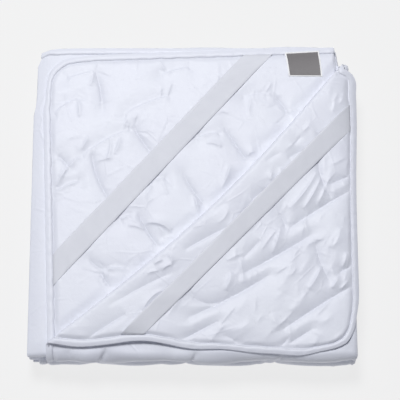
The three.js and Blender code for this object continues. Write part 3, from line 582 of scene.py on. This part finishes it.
# Even folds lie at the front, with the upper ply outside; odd ones at the back, with the bottom ply outside.
OUTER_FOLDS = [
    {"name": "front", "parity": 0, "ply": UPPER_PLY},
    {"name": "back", "parity": 1, "ply": BOTTOM_PLY},
]
for fold in OUTER_FOLDS:
    fold["seams"] = lattice_rows(fold["ply"])
    fold["creases"] = np.vstack([fold["seams"], scatter_puckers(fold["seams"], PUCKERS[fold["name"]])])
    print(fold["name"], "seams:", len(fold["seams"]), "with", len(fold["creases"]), "creases")

# %% [markdown]
# ## The flat pad
# The sheet starts flat and at its real size, as a plain grid. Its rows and columns are moved close together
# where it will be bent, it is extruded into a thin slab, and only the part that will show is subdivided,
# most of all where a crease bends it. A uniform grid that fine would need ten times as many faces. Its flat
# place is kept in an attribute and a UV map, so that the weave follows the cloth round every fold.

# %% A thin slab of cloth with chosen rows and columns
def stations(*runs):
    """Positions from runs of (end, steps), each starting where the last one ends."""
    places = [0.0]
    for end, steps in runs:
        places += list(np.linspace(places[-1], end, steps + 1)[1:])
    return np.array(places)


def slab(columns, rows):
    """A flat closed slab whose grid lines lie at the given positions, in millimetres; z is -1 or 1."""
    bm = bmesh.new()
    wide, long = len(columns) - 1, len(rows) - 1
    bmesh.ops.create_grid(bm, x_segments=wide, y_segments=long, size=0.5)
    for vert in bm.verts:
        vert.co.x = columns[round((vert.co.x + 0.5) * wide)]
        vert.co.y = rows[round((vert.co.y + 0.5) * long)]
        vert.co.z = -1
    extruded = bmesh.ops.extrude_face_region(bm, geom=bm.faces[:], use_keep_orig=True)["geom"]
    bmesh.ops.translate(bm, verts=[v for v in extruded if isinstance(v, bmesh.types.BMVert)], vec=(0, 0, 2))
    bmesh.ops.recalc_face_normals(bm, faces=bm.faces)
    return bm


def positions(bm):
    return np.array([vert.co[:] for vert in bm.verts])


SLOPED = 42  # so far from a fold the stack's faces sink, and need closer lines


def hem_rows():
    runs = [(SEAM, 2), (PANEL, 28)]
    for turn in range(PANELS - 1):
        fold_end = (turn + 1) * (PANEL + FOLD)
        next_fold = fold_end + PANEL
        runs += [(fold_end, 8), (fold_end + SLOPED, 2), (next_fold - SLOPED, 2), (next_fold, 2)]
    runs[-1] = (LENGTH - SEAM, 2)
    return stations(*runs, (LENGTH, 2))


ends = SECTION_STARTS[1:]
hem_columns = stations(
    (SEAM, 2), (ends[0], 27), (ends[1], 6), (ends[2] - 2 * SLOPED, 4), (ends[2], 6), (ends[3], 6),
    (ends[3] + 2 * SLOPED, 6), (ends[4], 9), (ends[5], 8), (WIDTH - SEAM, 28), (WIDTH, 2),
)
flat_pad = slab(hem_columns, hem_rows())
print("flat pad:", len(flat_pad.faces), "faces")

# %% Subdivide the part that will show
COVER_MARGIN = 8  # the lower ply is fine this far under the roll
ROLL_MARGIN = -0.6  # and the upper ply from this angle before the roll
FINE_CUTS = 5
FRONT_CUTS = 7
FACING = 0.5  # a flat face with this much of its normal up or down is on the sheet's top or underside


def subdivide(faces, cuts, axis=None):
    """Cuts all edges of some cells, or only those that run along one axis."""
    edges = {edge for face in faces for edge in face.edges}
    if axis is not None:
        edges = {edge for edge in edges if abs((edge.verts[0].co - edge.verts[1].co)[axis]) > 0.01}
    bmesh.ops.subdivide_edges(flat_pad, edges=list(edges), cuts=cuts, use_grid_fill=True)


def angle_on_roll(across, along):
    """roll_angle for flat spots of the upper ply."""
    turn, share, _ = lengthwise(along)
    ratio = (across - SECTION_STARTS[UPPER_PLY]) / SECTION_WIDTHS[UPPER_PLY]
    return roll_angle(*plan_on_ply(SECTIONS[UPPER_PLY], turn, share, ratio))


def shows(across, along):
    """True where a flat spot's underside will lie on top of the stack."""
    section = section_of(across)
    distance_along, distance_across = in_crease_frame(*place(across, along)[:, :2].T)
    bow, _ = crease_shape(distance_along)
    shown = (section == LOWER_PLY) & (distance_across < bow + COVER_MARGIN)
    upper = section == UPPER_PLY
    shown[upper] = angle_on_roll(across[upper], along[upper]) > ROLL_MARGIN
    return shown & (along < PANEL)


under = [face for face in flat_pad.faces if face.normal.z < -FACING]
centres = np.array([face.calc_center_median() for face in under])
chosen = [face for face, yes in zip(under, shows(centres[:, 0], centres[:, 1])) if yes]
subdivide(chosen, FINE_CUTS)
print(len(chosen), "cells show on top; now", len(flat_pad.faces), "faces")

# %% Subdivide the outside of the folds at the front and the back
def on_fold(face, fold):
    middle = face.calc_center_median()
    turn, _, angle = lengthwise(np.array([middle.y]))
    bent = angle[0] > 0 and turn[0] % 2 == fold["parity"]
    return bent and face.normal.z > FACING and section_of(middle.x) == fold["ply"]


front_fold, back_fold = OUTER_FOLDS
for fold, axis, cuts in ((front_fold, 0, FRONT_CUTS), (front_fold, 1, 1), (back_fold, 0, FRONT_CUTS)):
    subdivide([face for face in flat_pad.faces if on_fold(face, fold)], cuts, axis)
print("with the folds subdivided:", len(flat_pad.faces), "faces")

# %% Round the sheet's corners
def round_corners(across, along):
    """Draws the square of grid at each corner in to a quarter disc."""
    from_left, from_right = CORNER_RADIUS - across, across - (WIDTH - CORNER_RADIUS)
    from_back, from_front = CORNER_RADIUS - along, along - (LENGTH - CORNER_RADIUS)
    a = np.maximum(from_left, from_right) / CORNER_RADIUS
    b = np.maximum(from_back, from_front) / CORNER_RADIUS
    corner = (a > 0) & (b > 0)
    reach = np.maximum(a, b)
    angle = np.where(a >= b, b / np.maximum(a, 1e-9), 2 - a / np.maximum(b, 1e-9)) * np.pi / 4
    new_a = np.where(corner, reach * np.cos(angle), a) * CORNER_RADIUS
    new_b = np.where(corner, reach * np.sin(angle), b) * CORNER_RADIUS
    new_across = np.where(from_left > from_right, CORNER_RADIUS - new_a, WIDTH - CORNER_RADIUS + new_a)
    new_along = np.where(from_back > from_front, CORNER_RADIUS - new_b, LENGTH - CORNER_RADIUS + new_b)
    return np.where(corner, new_across, across), np.where(corner, new_along, along)


def edge_distance(across, along):
    a = np.minimum(across, WIDTH - across)
    b = np.minimum(along, LENGTH - along)
    rounded = CORNER_RADIUS - np.hypot(CORNER_RADIUS - a, CORNER_RADIUS - b)
    return np.where((a < CORNER_RADIUS) & (b < CORNER_RADIUS), rounded, np.minimum(a, b))


# %% Where the elastics and the label will lie
# Each has the plan of its two ends, and presses the soft cloth down a little.
TAPES = {
    "elastic_back": [[(58, 203), (96.5, 204)], [(-186, -72), (-184, -113)]],
    "elastic_front": [[(196, 131), (196, 95)], [(-98, -176.5), (-69, -177)]],
    "label": [[(112.5, 206.5), (158, 209.5)], [(117, 171), (161.5, 170.5)]],
}
PRESSED_LEVEL = 0.7  # the quilting stands no higher under a tape
PRESSED_FADE = 2.5


def under_tape(spots):
    """1 under an elastic or the label, falling to 0 a little way beside it."""
    covered = np.zeros(len(spots))
    for tape_ends in TAPES.values():
        (a, b), (d, c) = np.array(tape_ends, dtype=float)
        inwards = []
        for start, end in ((a, b), (b, c), (c, d), (d, a)):
            way = (end - start) / np.linalg.norm(end - start)
            inwards.append((spots[:, 1] - start[1]) * way[0] - (spots[:, 0] - start[0]) * way[1])
        inside = np.maximum(np.min(inwards, axis=0), -np.max(inwards, axis=0))
        covered = np.maximum(covered, smoothstep(inside, 0, PRESSED_FADE))
    return covered


# %% The relief on each side of the sheet
UNDER_ROLL_FADE = 14
TURNED_FADE = (0.45 * np.pi, 1.1 * np.pi)


def pressed_quilt(spots, ply):
    quilt = quilted_height(spots, hand_placed[ply]["seams"], creases[ply], CREASE_SIZE[ply])
    return blend(quilt, np.minimum(quilt, PRESSED_LEVEL), under_tape(spots))


def relief(across, along, side):
    """How far the cloth stands off the pressed sheet: on the underside on top of the stack, and on the
    top face round the outer folds. It is nothing where plies touch."""
    height = np.zeros(len(across))
    section = section_of(across)
    turn, _, angle = lengthwise(along)
    on_top = (turn == 0) & (angle == 0) & (side < 0)
    lower, upper = on_top & (section == LOWER_PLY), on_top & (section == UPPER_PLY)
    spots = place(across[lower], along[lower])[:, :2]
    crease_along, crease_across = in_crease_frame(*spots.T)
    bow, radius = crease_shape(crease_along)
    open_share = smoothstep(bow - crease_across, 0.5 * radius, 0.5 * radius + UNDER_ROLL_FADE)
    height[lower] = open_share * pressed_quilt(spots, "lower")
    turned_share = smoothstep(angle_on_roll(across[upper], along[upper]), *TURNED_FADE)
    height[upper] = turned_share * pressed_quilt(place(across[upper], along[upper])[:, :2], "upper")
    for fold in OUTER_FOLDS:
        outside = (angle > 0) & (turn % 2 == fold["parity"]) & (section == fold["ply"]) & (side > 0)
        spots = np.stack([across[outside], along[outside] - turn[outside] * (PANEL + FOLD)], axis=1)
        quilt = quilted_height(spots, fold["seams"], fold["creases"], CREASE_SIZE["front"])
        height[outside] = np.sqrt(np.sin(angle[outside])) * quilt
    return height


# %% Finer cells where a crease bends the cloth
# A cell is cut again where its middle would stand off the flat of its corners, so small creases stay crisp.
BEND = 0.11  # mm
BEND_CUTS = 2


def relief_at(spots):
    return relief(*round_corners(spots[:, 0], spots[:, 1]), np.sign(spots[:, 2]))


flat_pad.verts.index_update()
flat_pad.normal_update()
spots = positions(flat_pad)
quads = [face for face in flat_pad.faces if len(face.verts) == 4 and face.normal.z < -FACING]
corners = np.array([[vert.index for vert in face.verts] for face in quads])
bends = np.abs(relief_at(spots[corners].mean(axis=1)) - relief_at(spots)[corners].mean(axis=1))
creased = [face for face, bend in zip(quads, bends) if bend > BEND]
subdivide(creased, BEND_CUTS)
bmesh.ops.triangulate(flat_pad, faces=[face for face in flat_pad.faces if len(face.verts) > 4])
print(len(creased), "cells bend; triangles:", sum(len(face.verts) - 2 for face in flat_pad.faces))

# %% Fold the pad
def save_piece(name, bm, points, flat, replaced):
    """Makes an object from a bmesh whose points have been moved, with its flat place kept on it."""
    mesh = bpy.data.meshes.new(name)
    bm.to_mesh(mesh)
    bm.free()
    mesh.vertices.foreach_set("co", (points * MM).astype(np.float32).ravel())
    kept = mesh.attributes.new("flat", "FLOAT_VECTOR", "POINT")
    kept.data.foreach_set("vector", (flat * MM).astype(np.float32).ravel())
    corners = np.zeros(len(mesh.loops), dtype=np.int32)
    mesh.loops.foreach_get("vertex_index", corners)
    uv = mesh.uv_layers.new(name="flat_map")
    uv.data.foreach_set("uv", (flat[corners, :2] * MM).astype(np.float32).ravel())
    mesh.polygons.foreach_set("use_smooth", np.ones(len(mesh.polygons), dtype=bool))
    mesh.update()
    piece = add_object(name, mesh)
    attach(piece, "root")
    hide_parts(replaced)
    return piece


raw = positions(flat_pad)
across, along = round_corners(raw[:, 0], raw[:, 1])
side = np.sign(raw[:, 2])
seam_share = smoothstep(edge_distance(across, along), SEAM - 1, SEAM + 5)
half = blend(PRESSED_EDGE / 2, PLY / 2, seam_share) + seam_share * relief(across, along, side)
folded = place(across, along) + top_normal(across, along) * (side * half)[:, None]
flat = np.stack([across, along, side], axis=1)
pad = save_piece("quilted_pad", flat_pad, folded, flat, "pad")
print("pad:", len(pad.data.polygons), "faces; its lowest place:", folded[:, 2].min().round(2), "mm")

# %% [markdown]
# ## The binding
# A strip of the same smooth cloth is folded over the sheet's edge all the way round and sewn down, which
# gathers it a little. It could be swept along a curve, but a curve knows nothing of the folded plies. So the
# strip is a flat slab too: one direction runs round the sheet, the other goes over the edge, and the same
# folding rule carries it into the stack.

# %% Slow irregular waves, for what no hand makes even
def wobble(run, wavelength, seed):
    waves = np.random.default_rng(seed)
    total = np.zeros(len(run))
    for _ in range(5):
        length = wavelength * waves.uniform(0.6, 1.7)
        total += np.sin(2 * np.pi * (run / length + waves.uniform()))
    return total / 2.5


# %% The way round the sheet's edge
def round_the_edge():
    """Flat positions all round the edge, and the direction out of the sheet at each."""
    back = stations((CORNER_RADIUS, 1), (ends[0], 86), (ends[1], 6), (ends[2], 28), (ends[3], 6),
                    (ends[4], 28), (ends[5], 8), (WIDTH - CORNER_RADIUS, 90))[1:]
    runs = [(CORNER_RADIUS, 1), (PANEL, 92)]
    for turn in range(PANELS - 1):
        fold_end = (turn + 1) * (PANEL + FOLD)
        runs += [(fold_end, 10), (min(fold_end + PANEL, LENGTH - CORNER_RADIUS), 22)]
    hem = stations(*runs)[1:]
    arc = np.linspace(0, np.pi / 2, 13)[1:-1]
    far_across, far_along = WIDTH - CORNER_RADIUS, LENGTH - CORNER_RADIUS
    path = [(a, 0, 0, -1) for a in back]
    path += [(far_across, CORNER_RADIUS, math.sin(t), -math.cos(t)) for t in arc]
    path += [(WIDTH, a, 1, 0) for a in hem]
    path += [(far_across, far_along, math.cos(t), math.sin(t)) for t in arc]
    path += [(a, LENGTH, 0, 1) for a in back[::-1]]
    path += [(CORNER_RADIUS, far_along, -math.sin(t), math.cos(t)) for t in arc]
    path += [(0, a, -1, 0) for a in hem[::-1]]
    path += [(CORNER_RADIUS, CORNER_RADIUS, -math.cos(t), -math.sin(t)) for t in arc]
    path = np.array(path + path[:1], dtype=float)
    rounded = (path[:, 2] != 0) & (path[:, 3] != 0)
    path[rounded, :2] += CORNER_RADIUS * path[rounded, 2:]
    return path


edge_path = round_the_edge()
steps_round = np.linalg.norm(np.diff(edge_path[:, :2], axis=0), axis=1)
round_run = np.concatenate([[0], np.cumsum(steps_round)])
print("way round the edge:", round(round_run[-1]), "mm in", len(round_run) - 1, "steps")

# %% Fold the strip over the edge
STRIP_NOSE = 1.05  # radius where it turns over the edge
STRIP_WALL = 8.3  # from there to where it is sewn down
STRIP_HALF = 0.28  # half the strip's own thickness
STRIP_PUFF = 0.55
GATHERS = {"wavelength": 13, "seed": 3, "share": 0.55}
WANDER = {"wavelength": 17, "seed": 4, "size": 0.45}
NOSE_RUN = math.pi / 2 * STRIP_NOSE
STRIP_WIDTH = 2 * (NOSE_RUN + STRIP_WALL)

strip_rows = stations((STRIP_WALL, 6), (STRIP_WALL + 2 * NOSE_RUN, 6), (STRIP_WIDTH, 6))
strip = slab(round_run, strip_rows)
caps = [face for face in strip.faces if abs(face.normal.x) > FACING]
bmesh.ops.delete(strip, geom=caps, context="FACES_ONLY")


def on_strip(run, over, side):
    """Places spots of the strip: how far round the sheet, how far over the edge, and which face."""
    path = np.stack([np.interp(run, round_run, column) for column in edge_path.T], axis=1)
    outward = unit(path[:, 2:])
    turn = np.clip((over - STRIP_WIDTH / 2) / STRIP_NOSE, -np.pi / 2, np.pi / 2)
    wall = np.clip((np.abs(over - STRIP_WIDTH / 2) - NOSE_RUN) / STRIP_WALL, 0, 1)
    gathers = 1 + GATHERS["share"] * wobble(run, GATHERS["wavelength"], GATHERS["seed"])
    puff = STRIP_PUFF * gathers * smoothstep(wall, 0, 0.4) * smoothstep(-wall, -1, -0.5)
    pressed = (STRIP_NOSE - PRESSED_EDGE / 2 - 0.3 * STRIP_HALF) * smoothstep(wall, 0.6, 1)
    radius = STRIP_NOSE + side * STRIP_HALF * (1 - 0.75 * smoothstep(wall, 0.8, 1))
    depth = STRIP_WALL + WANDER["size"] * wobble(run, WANDER["wavelength"], WANDER["seed"])
    inset = wall * depth - radius * np.cos(turn)
    height = radius * np.sin(turn) + np.sign(turn) * (puff - pressed)
    spot = path[:, :2] - outward * np.maximum(inset, 0)[:, None]
    straight_out = unit(place(*path[:, :2].T) - place(*(path[:, :2] - 0.5 * outward).T))
    past_edge = straight_out * np.maximum(-inset, 0)[:, None]
    return place(*spot.T) + top_normal(*spot.T) * height[:, None] + past_edge


raw = positions(strip)
folded = on_strip(raw[:, 0], raw[:, 1], np.sign(raw[:, 2]))
binding = save_piece("edge_binding", strip, folded, raw, "binding")
closing = bmesh.new()
closing.from_mesh(binding.data)
bmesh.ops.remove_doubles(closing, verts=closing.verts, dist=1e-6)
closing.to_mesh(binding.data)
closing.free()
print("binding:", len(binding.data.polygons), "faces")

# %% [markdown]
# ## The elastics and the label
# Each elastic is a flat woven tape, sewn in under the binding at both ends and stretched across the corner.
# Being taut it runs from one high field of the quilting to the next, and leaves small dark gaps over the
# seams between. It could be a plain strip at one height, but then it would float or sink in. So its height
# comes from the cloth under it: the points straight below are found with rays, and a line is stretched over
# the highest of them. The label is a small woven tab laid in the same way.

# %% The height of the cloth below any spot
bpy.context.view_layer.update()
graph = bpy.context.evaluated_depsgraph_get()
below = [BVHTree.FromObject(piece, graph) for piece in (pad, binding)]


def cloth_height(x, y):
    found = [tree.ray_cast(Vector((x * MM, y * MM, 0.2)), Vector((0, 0, -1)))[0] for tree in below]
    return max((hit.z / MM for hit in found if hit), default=0)


def stretched_over(run, height):
    """The line pulled tight over a row of heights, which is their upper hull."""
    hull = []
    for spot in zip(run, height):
        while len(hull) > 1:
            (x1, z1), (x2, z2) = hull[-2], hull[-1]
            if (z2 - z1) * (spot[0] - x1) <= (spot[1] - z1) * (x2 - x1):
                hull.pop()
            else:
                break
        hull.append(spot)
    return np.interp(run, *np.array(hull).T)


# %% Lay a flat tape over the cloth
SMOOTHED = 4  # stations to each side
TAPE_EDGE = 0.7  # step of the rows where the tape thins out at its sides
TAPE_SETTLE = 14  # from its ends to where it is taut
TAPE_SINK = 0.5  # at most, into the highest cloth
TAPE_CLEAR = 0.1


def smoothed(values):
    window = np.ones(2 * SMOOTHED + 1)
    return np.convolve(np.pad(values, SMOOTHED, mode="edge"), window, "valid") / len(window)


def lay_tape(name, start, end, thickness, steps, lanes, tautness, slot_name, replaced, curl=0.0,
             lifts=((0, 0), (1, 0))):
    """start and end each give the two corners of one end of the tape, in plan. The lifts say how far its back
    edge is raised, at shares of its length."""
    start, end = np.array(start, dtype=float), np.array(end, dtype=float)
    length = np.linalg.norm((start - end).mean(axis=0))
    way = (end - start).mean(axis=0) / length
    width = abs(np.cross(way, start[1] - start[0]))
    columns = np.linspace(0, length, steps + 1)
    lines = np.linspace(2 * TAPE_EDGE, width - 2 * TAPE_EDGE, lanes + 1)
    rows = np.concatenate([[0, TAPE_EDGE], lines, [width - TAPE_EDGE, width]])
    tape = slab(columns, rows)

    # The height of the cloth under each crossing of its lines, and how the tape lies over it
    share, lane = np.meshgrid(columns / length, rows / width, indexing="ij")
    left = start[0] + share[..., None] * (end[0] - start[0])
    right = start[1] + share[..., None] * (end[1] - start[1])
    plan = left + lane[..., None] * (right - left)
    height = np.array([[cloth_height(*spot) for spot in row] for row in plan])
    across_tape = lane[0] - 0.5
    tilt = smoothed((height * across_tape).sum(axis=1) / (across_tape**2).sum())
    resting = (height - tilt[:, None] * across_tape).max(axis=1)
    line = blend(smoothed(resting), stretched_over(columns, resting), tautness)
    line = np.maximum(line, resting - TAPE_SINK)[:, None] + tilt[:, None] * across_tape
    pressed = np.minimum(1, np.minimum(columns, length - columns) / TAPE_SETTLE)[:, None] ** 0.7
    level = np.maximum(height + TAPE_CLEAR, blend(height, line, pressed))
    level = level + curl * np.abs(2 * lane - 1) ** 3 * pressed + np.interp(share, *zip(*lifts)) * (1 - lane)

    raw = positions(tape)
    i = np.searchsorted(columns, raw[:, 0] - 1e-4)
    j = np.searchsorted(rows, raw[:, 1] - 1e-4)
    side = (np.sign(raw[:, 2]) + 1) / 2
    edge = np.minimum(raw[:, 1], width - raw[:, 1])
    body = thickness * (0.6 + 0.4 * pressed[i, 0]) * blend(0.3, 1, smoothstep(edge, 0, 2 * TAPE_EDGE))
    points = np.column_stack([plan[i, j], level[i, j] + side * body])
    bmesh.ops.recalc_face_normals(tape, faces=tape.faces)
    piece = save_piece(name, tape, points, raw, replaced)
    print(name, "is", round(width, 1), "mm wide and", round(length), "mm long")
    return piece, length, width


BACK_LAID = {"thickness": 0.8, "steps": 96, "lanes": 10, "tautness": 0.25}
FRONT_LAID = {"thickness": 0.8, "steps": 100, "lanes": 10, "tautness": 0.2}
LABEL_LAID = {"thickness": 0.5, "steps": 16, "lanes": 20, "tautness": 0.8, "curl": 0.5}
FRONT_LIFTS = ((0, 0), (0.1, 3), (0.5, 1.5), (0.56, 1.5), (0.6, 0), (0.78, 0), (0.85, 3.5), (0.96, 2.5),
               (1, 0))
elastic_back, _, _ = lay_tape("elastic_tape_back", *TAPES["elastic_back"], slot_name="elastic_tape",
                              replaced="elastic_back", **BACK_LAID)
elastic_front, _, _ = lay_tape("elastic_tape_front", *TAPES["elastic_front"], slot_name="elastic_tape",
                               replaced="elastic_front", lifts=FRONT_LIFTS, **FRONT_LAID)
label, label_length, label_width = lay_tape("woven_label", *TAPES["label"], slot_name="label_cloth",
                                            replaced="label", **LABEL_LAID)

# %% [markdown]
# ## The finishes
# The cloth is a dense, smooth, faintly lustrous weave, dazzling white with a cool cast, and slightly crumpled
# by its wadding. Pictures of cloth could be laid on it, but they would stretch on the folds. Every finish is
# computed instead from the cloth's flat place, at the real size of threads, ribs and stitches.

# %% Small helpers for materials
def new_finish(name, colour, roughness, sheen):
    material = bpy.data.materials.new(name)
    material.use_nodes = True
    shader = material.node_tree.nodes["Principled BSDF"]
    shader.inputs["Base Color"].default_value = (*colour, 1)
    shader.inputs["Roughness"].default_value = roughness
    shader.inputs["Sheen Weight"].default_value = sheen
    shader.inputs["Sheen Roughness"].default_value = 0.4
    return material, material.node_tree, shader


def add_node(tree, kind, settings=None, links=None, **values):
    node = tree.nodes.new(kind)
    for key, value in (settings or {}).items():
        setattr(node, key, value)
    for key, value in values.items():
        node.inputs[key.replace("_", " ")].default_value = value
    for key, socket in (links or {}).items():
        tree.links.new(socket, node.inputs[key])
    return node


def noise(tree, flat, scale, detail, **values):
    node = add_node(tree, "ShaderNodeTexNoise", None, {"Vector": flat}, Scale=scale, Detail=detail, **values)
    return node.outputs["Fac"]


def remap(tree, value, **values):
    return add_node(tree, "ShaderNodeMapRange", None, {"Value": value}, **values).outputs["Result"]


def calculate(tree, operation, first, second=0.0):
    """A Math node; first and second are sockets or plain numbers."""
    node = add_node(tree, "ShaderNodeMath", {"operation": operation})
    for slot, value in enumerate((first, second)):
        if isinstance(value, bpy.types.NodeSocket):
            tree.links.new(value, node.inputs[slot])
        else:
            node.inputs[slot].default_value = value
    return node.outputs["Value"]


def flat_place(tree):
    """The piece's flat map, in metres, as separate sockets, and whole."""
    coordinates = add_node(tree, "ShaderNodeUVMap", {"uv_map": "flat_map"}).outputs["UV"]
    parts = add_node(tree, "ShaderNodeSeparateXYZ", links={"Vector": coordinates})
    return parts.outputs["X"], parts.outputs["Y"], coordinates


def ribs(tree, place_on, pitch):
    """A smooth row of ribs, 0 to 1, one for each pitch of the given coordinate."""
    turns = calculate(tree, "MULTIPLY", place_on, 2 * math.pi / pitch)
    wave = calculate(tree, "MULTIPLY", calculate(tree, "SINE", turns), 0.5)
    return calculate(tree, "ADD", wave, 0.5)


def raise_surface(tree, shader, height, distance, under=None):
    links = {"Height": height, "Normal": under} if under else {"Height": height}
    bump = add_node(tree, "ShaderNodeBump", links=links, Strength=1.0, Distance=distance)
    tree.links.new(bump.outputs["Normal"], shader.inputs["Normal"])
    return bump.outputs["Normal"]


def vary_colour(tree, shader, share, one, other):
    colours = {"A": (*one, 1), "B": (*other, 1)}
    mix = add_node(tree, "ShaderNodeMix", {"data_type": "RGBA"}, {"Factor": share}, **colours)
    tree.links.new(mix.outputs["Result"], shader.inputs["Base Color"])


# %% The white cloth of the pad and its binding
THREAD_PITCH = 0.0004
THREAD_HEIGHT = 0.00002
CLOTH_LIGHT = (0.79, 0.815, 0.88)
CLOTH_SHADED = (0.755, 0.77, 0.86)
CLOTH_ROUGHNESS = {"mean": 0.47, "least": 0.39, "most": 0.55}
PATCH_SCALE = 14.0
FINE_CREASE_SCALE = 26.0
FINE_CREASE_DEPTH = 0.00025


def cloth_finish(name, crumple_scale, crumple_depth, creased=False):
    material, tree, shader = new_finish(name, CLOTH_LIGHT, CLOTH_ROUGHNESS["mean"], 0.06)
    along_u, along_v, flat = flat_place(tree)
    crumple = noise(tree, flat, crumple_scale, 4.0, Roughness=0.55, Distortion=0.6)
    fine = noise(tree, flat, 5 * crumple_scale, 3.0)
    patches = noise(tree, flat, PATCH_SCALE, 2.0)
    vary_colour(tree, shader, patches, CLOTH_LIGHT, CLOTH_SHADED)
    rough = remap(tree, fine, To_Min=CLOTH_ROUGHNESS["least"], To_Max=CLOTH_ROUGHNESS["most"])
    tree.links.new(rough, shader.inputs["Roughness"])
    soft = raise_surface(tree, shader, crumple, crumple_depth)
    soft = raise_surface(tree, shader, fine, crumple_depth / 8, under=soft)
    if creased:
        cells = add_node(tree, "ShaderNodeTexVoronoi", {"feature": "DISTANCE_TO_EDGE"}, {"Vector": flat},
                         Scale=FINE_CREASE_SCALE)
        line = remap(tree, cells.outputs["Distance"], From_Max=0.05, To_Min=1.0, To_Max=0.0)
        here = remap(tree, patches, From_Min=0.42, From_Max=0.62)
        soft = raise_surface(tree, shader, calculate(tree, "MULTIPLY", line, here), FINE_CREASE_DEPTH, soft)
    weave = calculate(tree, "MULTIPLY", ribs(tree, along_u, THREAD_PITCH), ribs(tree, along_v, THREAD_PITCH))
    soft = raise_surface(tree, shader, weave, THREAD_HEIGHT, under=soft)
    return material, tree, shader, along_u, along_v, soft


pad.data.materials.append(cloth_finish("quilted_cloth_finish", 45.0, 0.0006, creased=True)[0])

# %% The binding's stitches
STITCH_PITCH = 0.0028
STITCH_SHARE = 0.72
STITCH_INSET = 0.0013
STITCH_HALF_WIDTH = 0.00024
STITCH_HEIGHT = 0.00025

finish, tree, shader, round_u, over_v, soft = cloth_finish("binding_finish", 110.0, 0.0005)
half_strip = STRIP_WIDTH * MM / 2
from_middle = calculate(tree, "ABSOLUTE", calculate(tree, "SUBTRACT", over_v, half_strip))
from_line = calculate(tree, "ABSOLUTE", calculate(tree, "SUBTRACT", from_middle, half_strip - STITCH_INSET))
on_line = calculate(tree, "LESS_THAN", from_line, STITCH_HALF_WIDTH)
place_in_stitch = calculate(tree, "FRACT", calculate(tree, "DIVIDE", round_u, STITCH_PITCH))
stitched = calculate(tree, "MULTIPLY", on_line, calculate(tree, "LESS_THAN", place_in_stitch, STITCH_SHARE))
raise_surface(tree, shader, stitched, STITCH_HEIGHT, under=soft)
binding.data.materials.append(finish)

# %% The elastic: knitted, with fine cords along it and picks across
CORD_PITCH = 0.0016
PICK_PITCH = 0.0009
KNIT_HEIGHT = 0.00012
ELASTIC_LIGHT = (0.76, 0.775, 0.83)
ELASTIC_SHADED = (0.68, 0.695, 0.755)

finish, tree, shader = new_finish("elastic_finish", (0.70, 0.72, 0.79), 0.62, 0.1)
along_u, across_v, flat = flat_place(tree)
cords = calculate(tree, "MULTIPLY", ribs(tree, across_v, CORD_PITCH), 0.7)
picks = calculate(tree, "MULTIPLY", ribs(tree, along_u, PICK_PITCH), 0.3)
vary_colour(tree, shader, noise(tree, flat, 60.0, 3.0), ELASTIC_LIGHT, ELASTIC_SHADED)
raise_surface(tree, shader, calculate(tree, "ADD", cords, picks), KNIT_HEIGHT)
for tape in (elastic_back, elastic_front):
    tape.data.materials.append(finish)

# %% The label: taupe satin with a white selvedge, blank
SELVEDGE = 0.0019
TWILL_PITCH = 0.0008
TWILL_HEIGHT = 0.00006
TAUPE = (0.195, 0.185, 0.187)
SELVEDGE_WHITE = (0.95, 0.95, 0.95)

finish, tree, shader = new_finish("label_finish", (0.2, 0.19, 0.19), 0.5, 0.15)
down_u, across_v, flat = flat_place(tree)
from_end = calculate(tree, "MINIMUM", down_u, calculate(tree, "SUBTRACT", label_length * MM, down_u))
from_side = calculate(tree, "MINIMUM", across_v, calculate(tree, "SUBTRACT", label_width * MM, across_v))
on_selvedge = calculate(tree, "LESS_THAN", calculate(tree, "MINIMUM", from_end, from_side), SELVEDGE)
vary_colour(tree, shader, on_selvedge, TAUPE, SELVEDGE_WHITE)
raise_surface(tree, shader, ribs(tree, calculate(tree, "ADD", down_u, across_v), TWILL_PITCH), TWILL_HEIGHT)
label.data.materials.append(finish)

# %% [markdown]
# ## The floor and the light
# The stack lies on a sheet of white acrylic that is lit a little from below, as on a table for product
# photographs, so the floor stays pale right up to the cloth. A plain floor under a stronger sky would do it
# too, but that sky would fill the creases' shade. One broad light hangs behind the stack, high and a little
# to the left: it makes the flat cloth bright, draws the quilting and leaves the front of the stack in a cool
# half-shade. A weak one low at the front left lifts the left side.

# %% Floor
floor_mesh = bpy.data.meshes.new("floor")
bm = bmesh.new()
bmesh.ops.create_grid(bm, x_segments=1, y_segments=1, size=4)
bm.to_mesh(floor_mesh)
bm.free()
floor = add_object("floor", floor_mesh)

acrylic = bpy.data.materials.new("lit_acrylic")
acrylic.use_nodes = True
surface = acrylic.node_tree.nodes["Principled BSDF"]
surface.inputs["Base Color"].default_value = (0.1, 0.1, 0.1, 1)
surface.inputs["Roughness"].default_value = 0.9
surface.inputs["Emission Color"].default_value = (1, 1, 1, 1)
surface.inputs["Emission Strength"].default_value = 0.775
floor_mesh.materials.append(acrylic)

# %% Colours shown as they are
bpy.context.scene.view_settings.view_transform = "Standard"

# %% Lights and sky
world = bpy.data.worlds.new("studio")
world.use_nodes = True
sky = world.node_tree.nodes["Background"]
sky.inputs["Color"].default_value = (0.83, 0.86, 1.0, 1)
sky.inputs["Strength"].default_value = 0.19
bpy.context.scene.world = world

LAMPS = [
    {"name": "key", "at": (-0.3, 1.05, 2.5), "size": 0.8, "power": 57.5},
    {"name": "side", "at": (-1.5, -1.3, 0.7), "size": 0.5, "power": 3.5},
]
for lamp in LAMPS:
    data = bpy.data.lights.new(lamp["name"], "AREA")
    data.size = lamp["size"]
    data.energy = lamp["power"]
    light = add_object(lamp["name"], data)
    light.location = lamp["at"]
    light.rotation_euler = (Vector(lamp["at"]) - AIM).to_track_quat("Z", "Y").to_euler()
print("lamps:", [lamp["name"] for lamp in LAMPS])
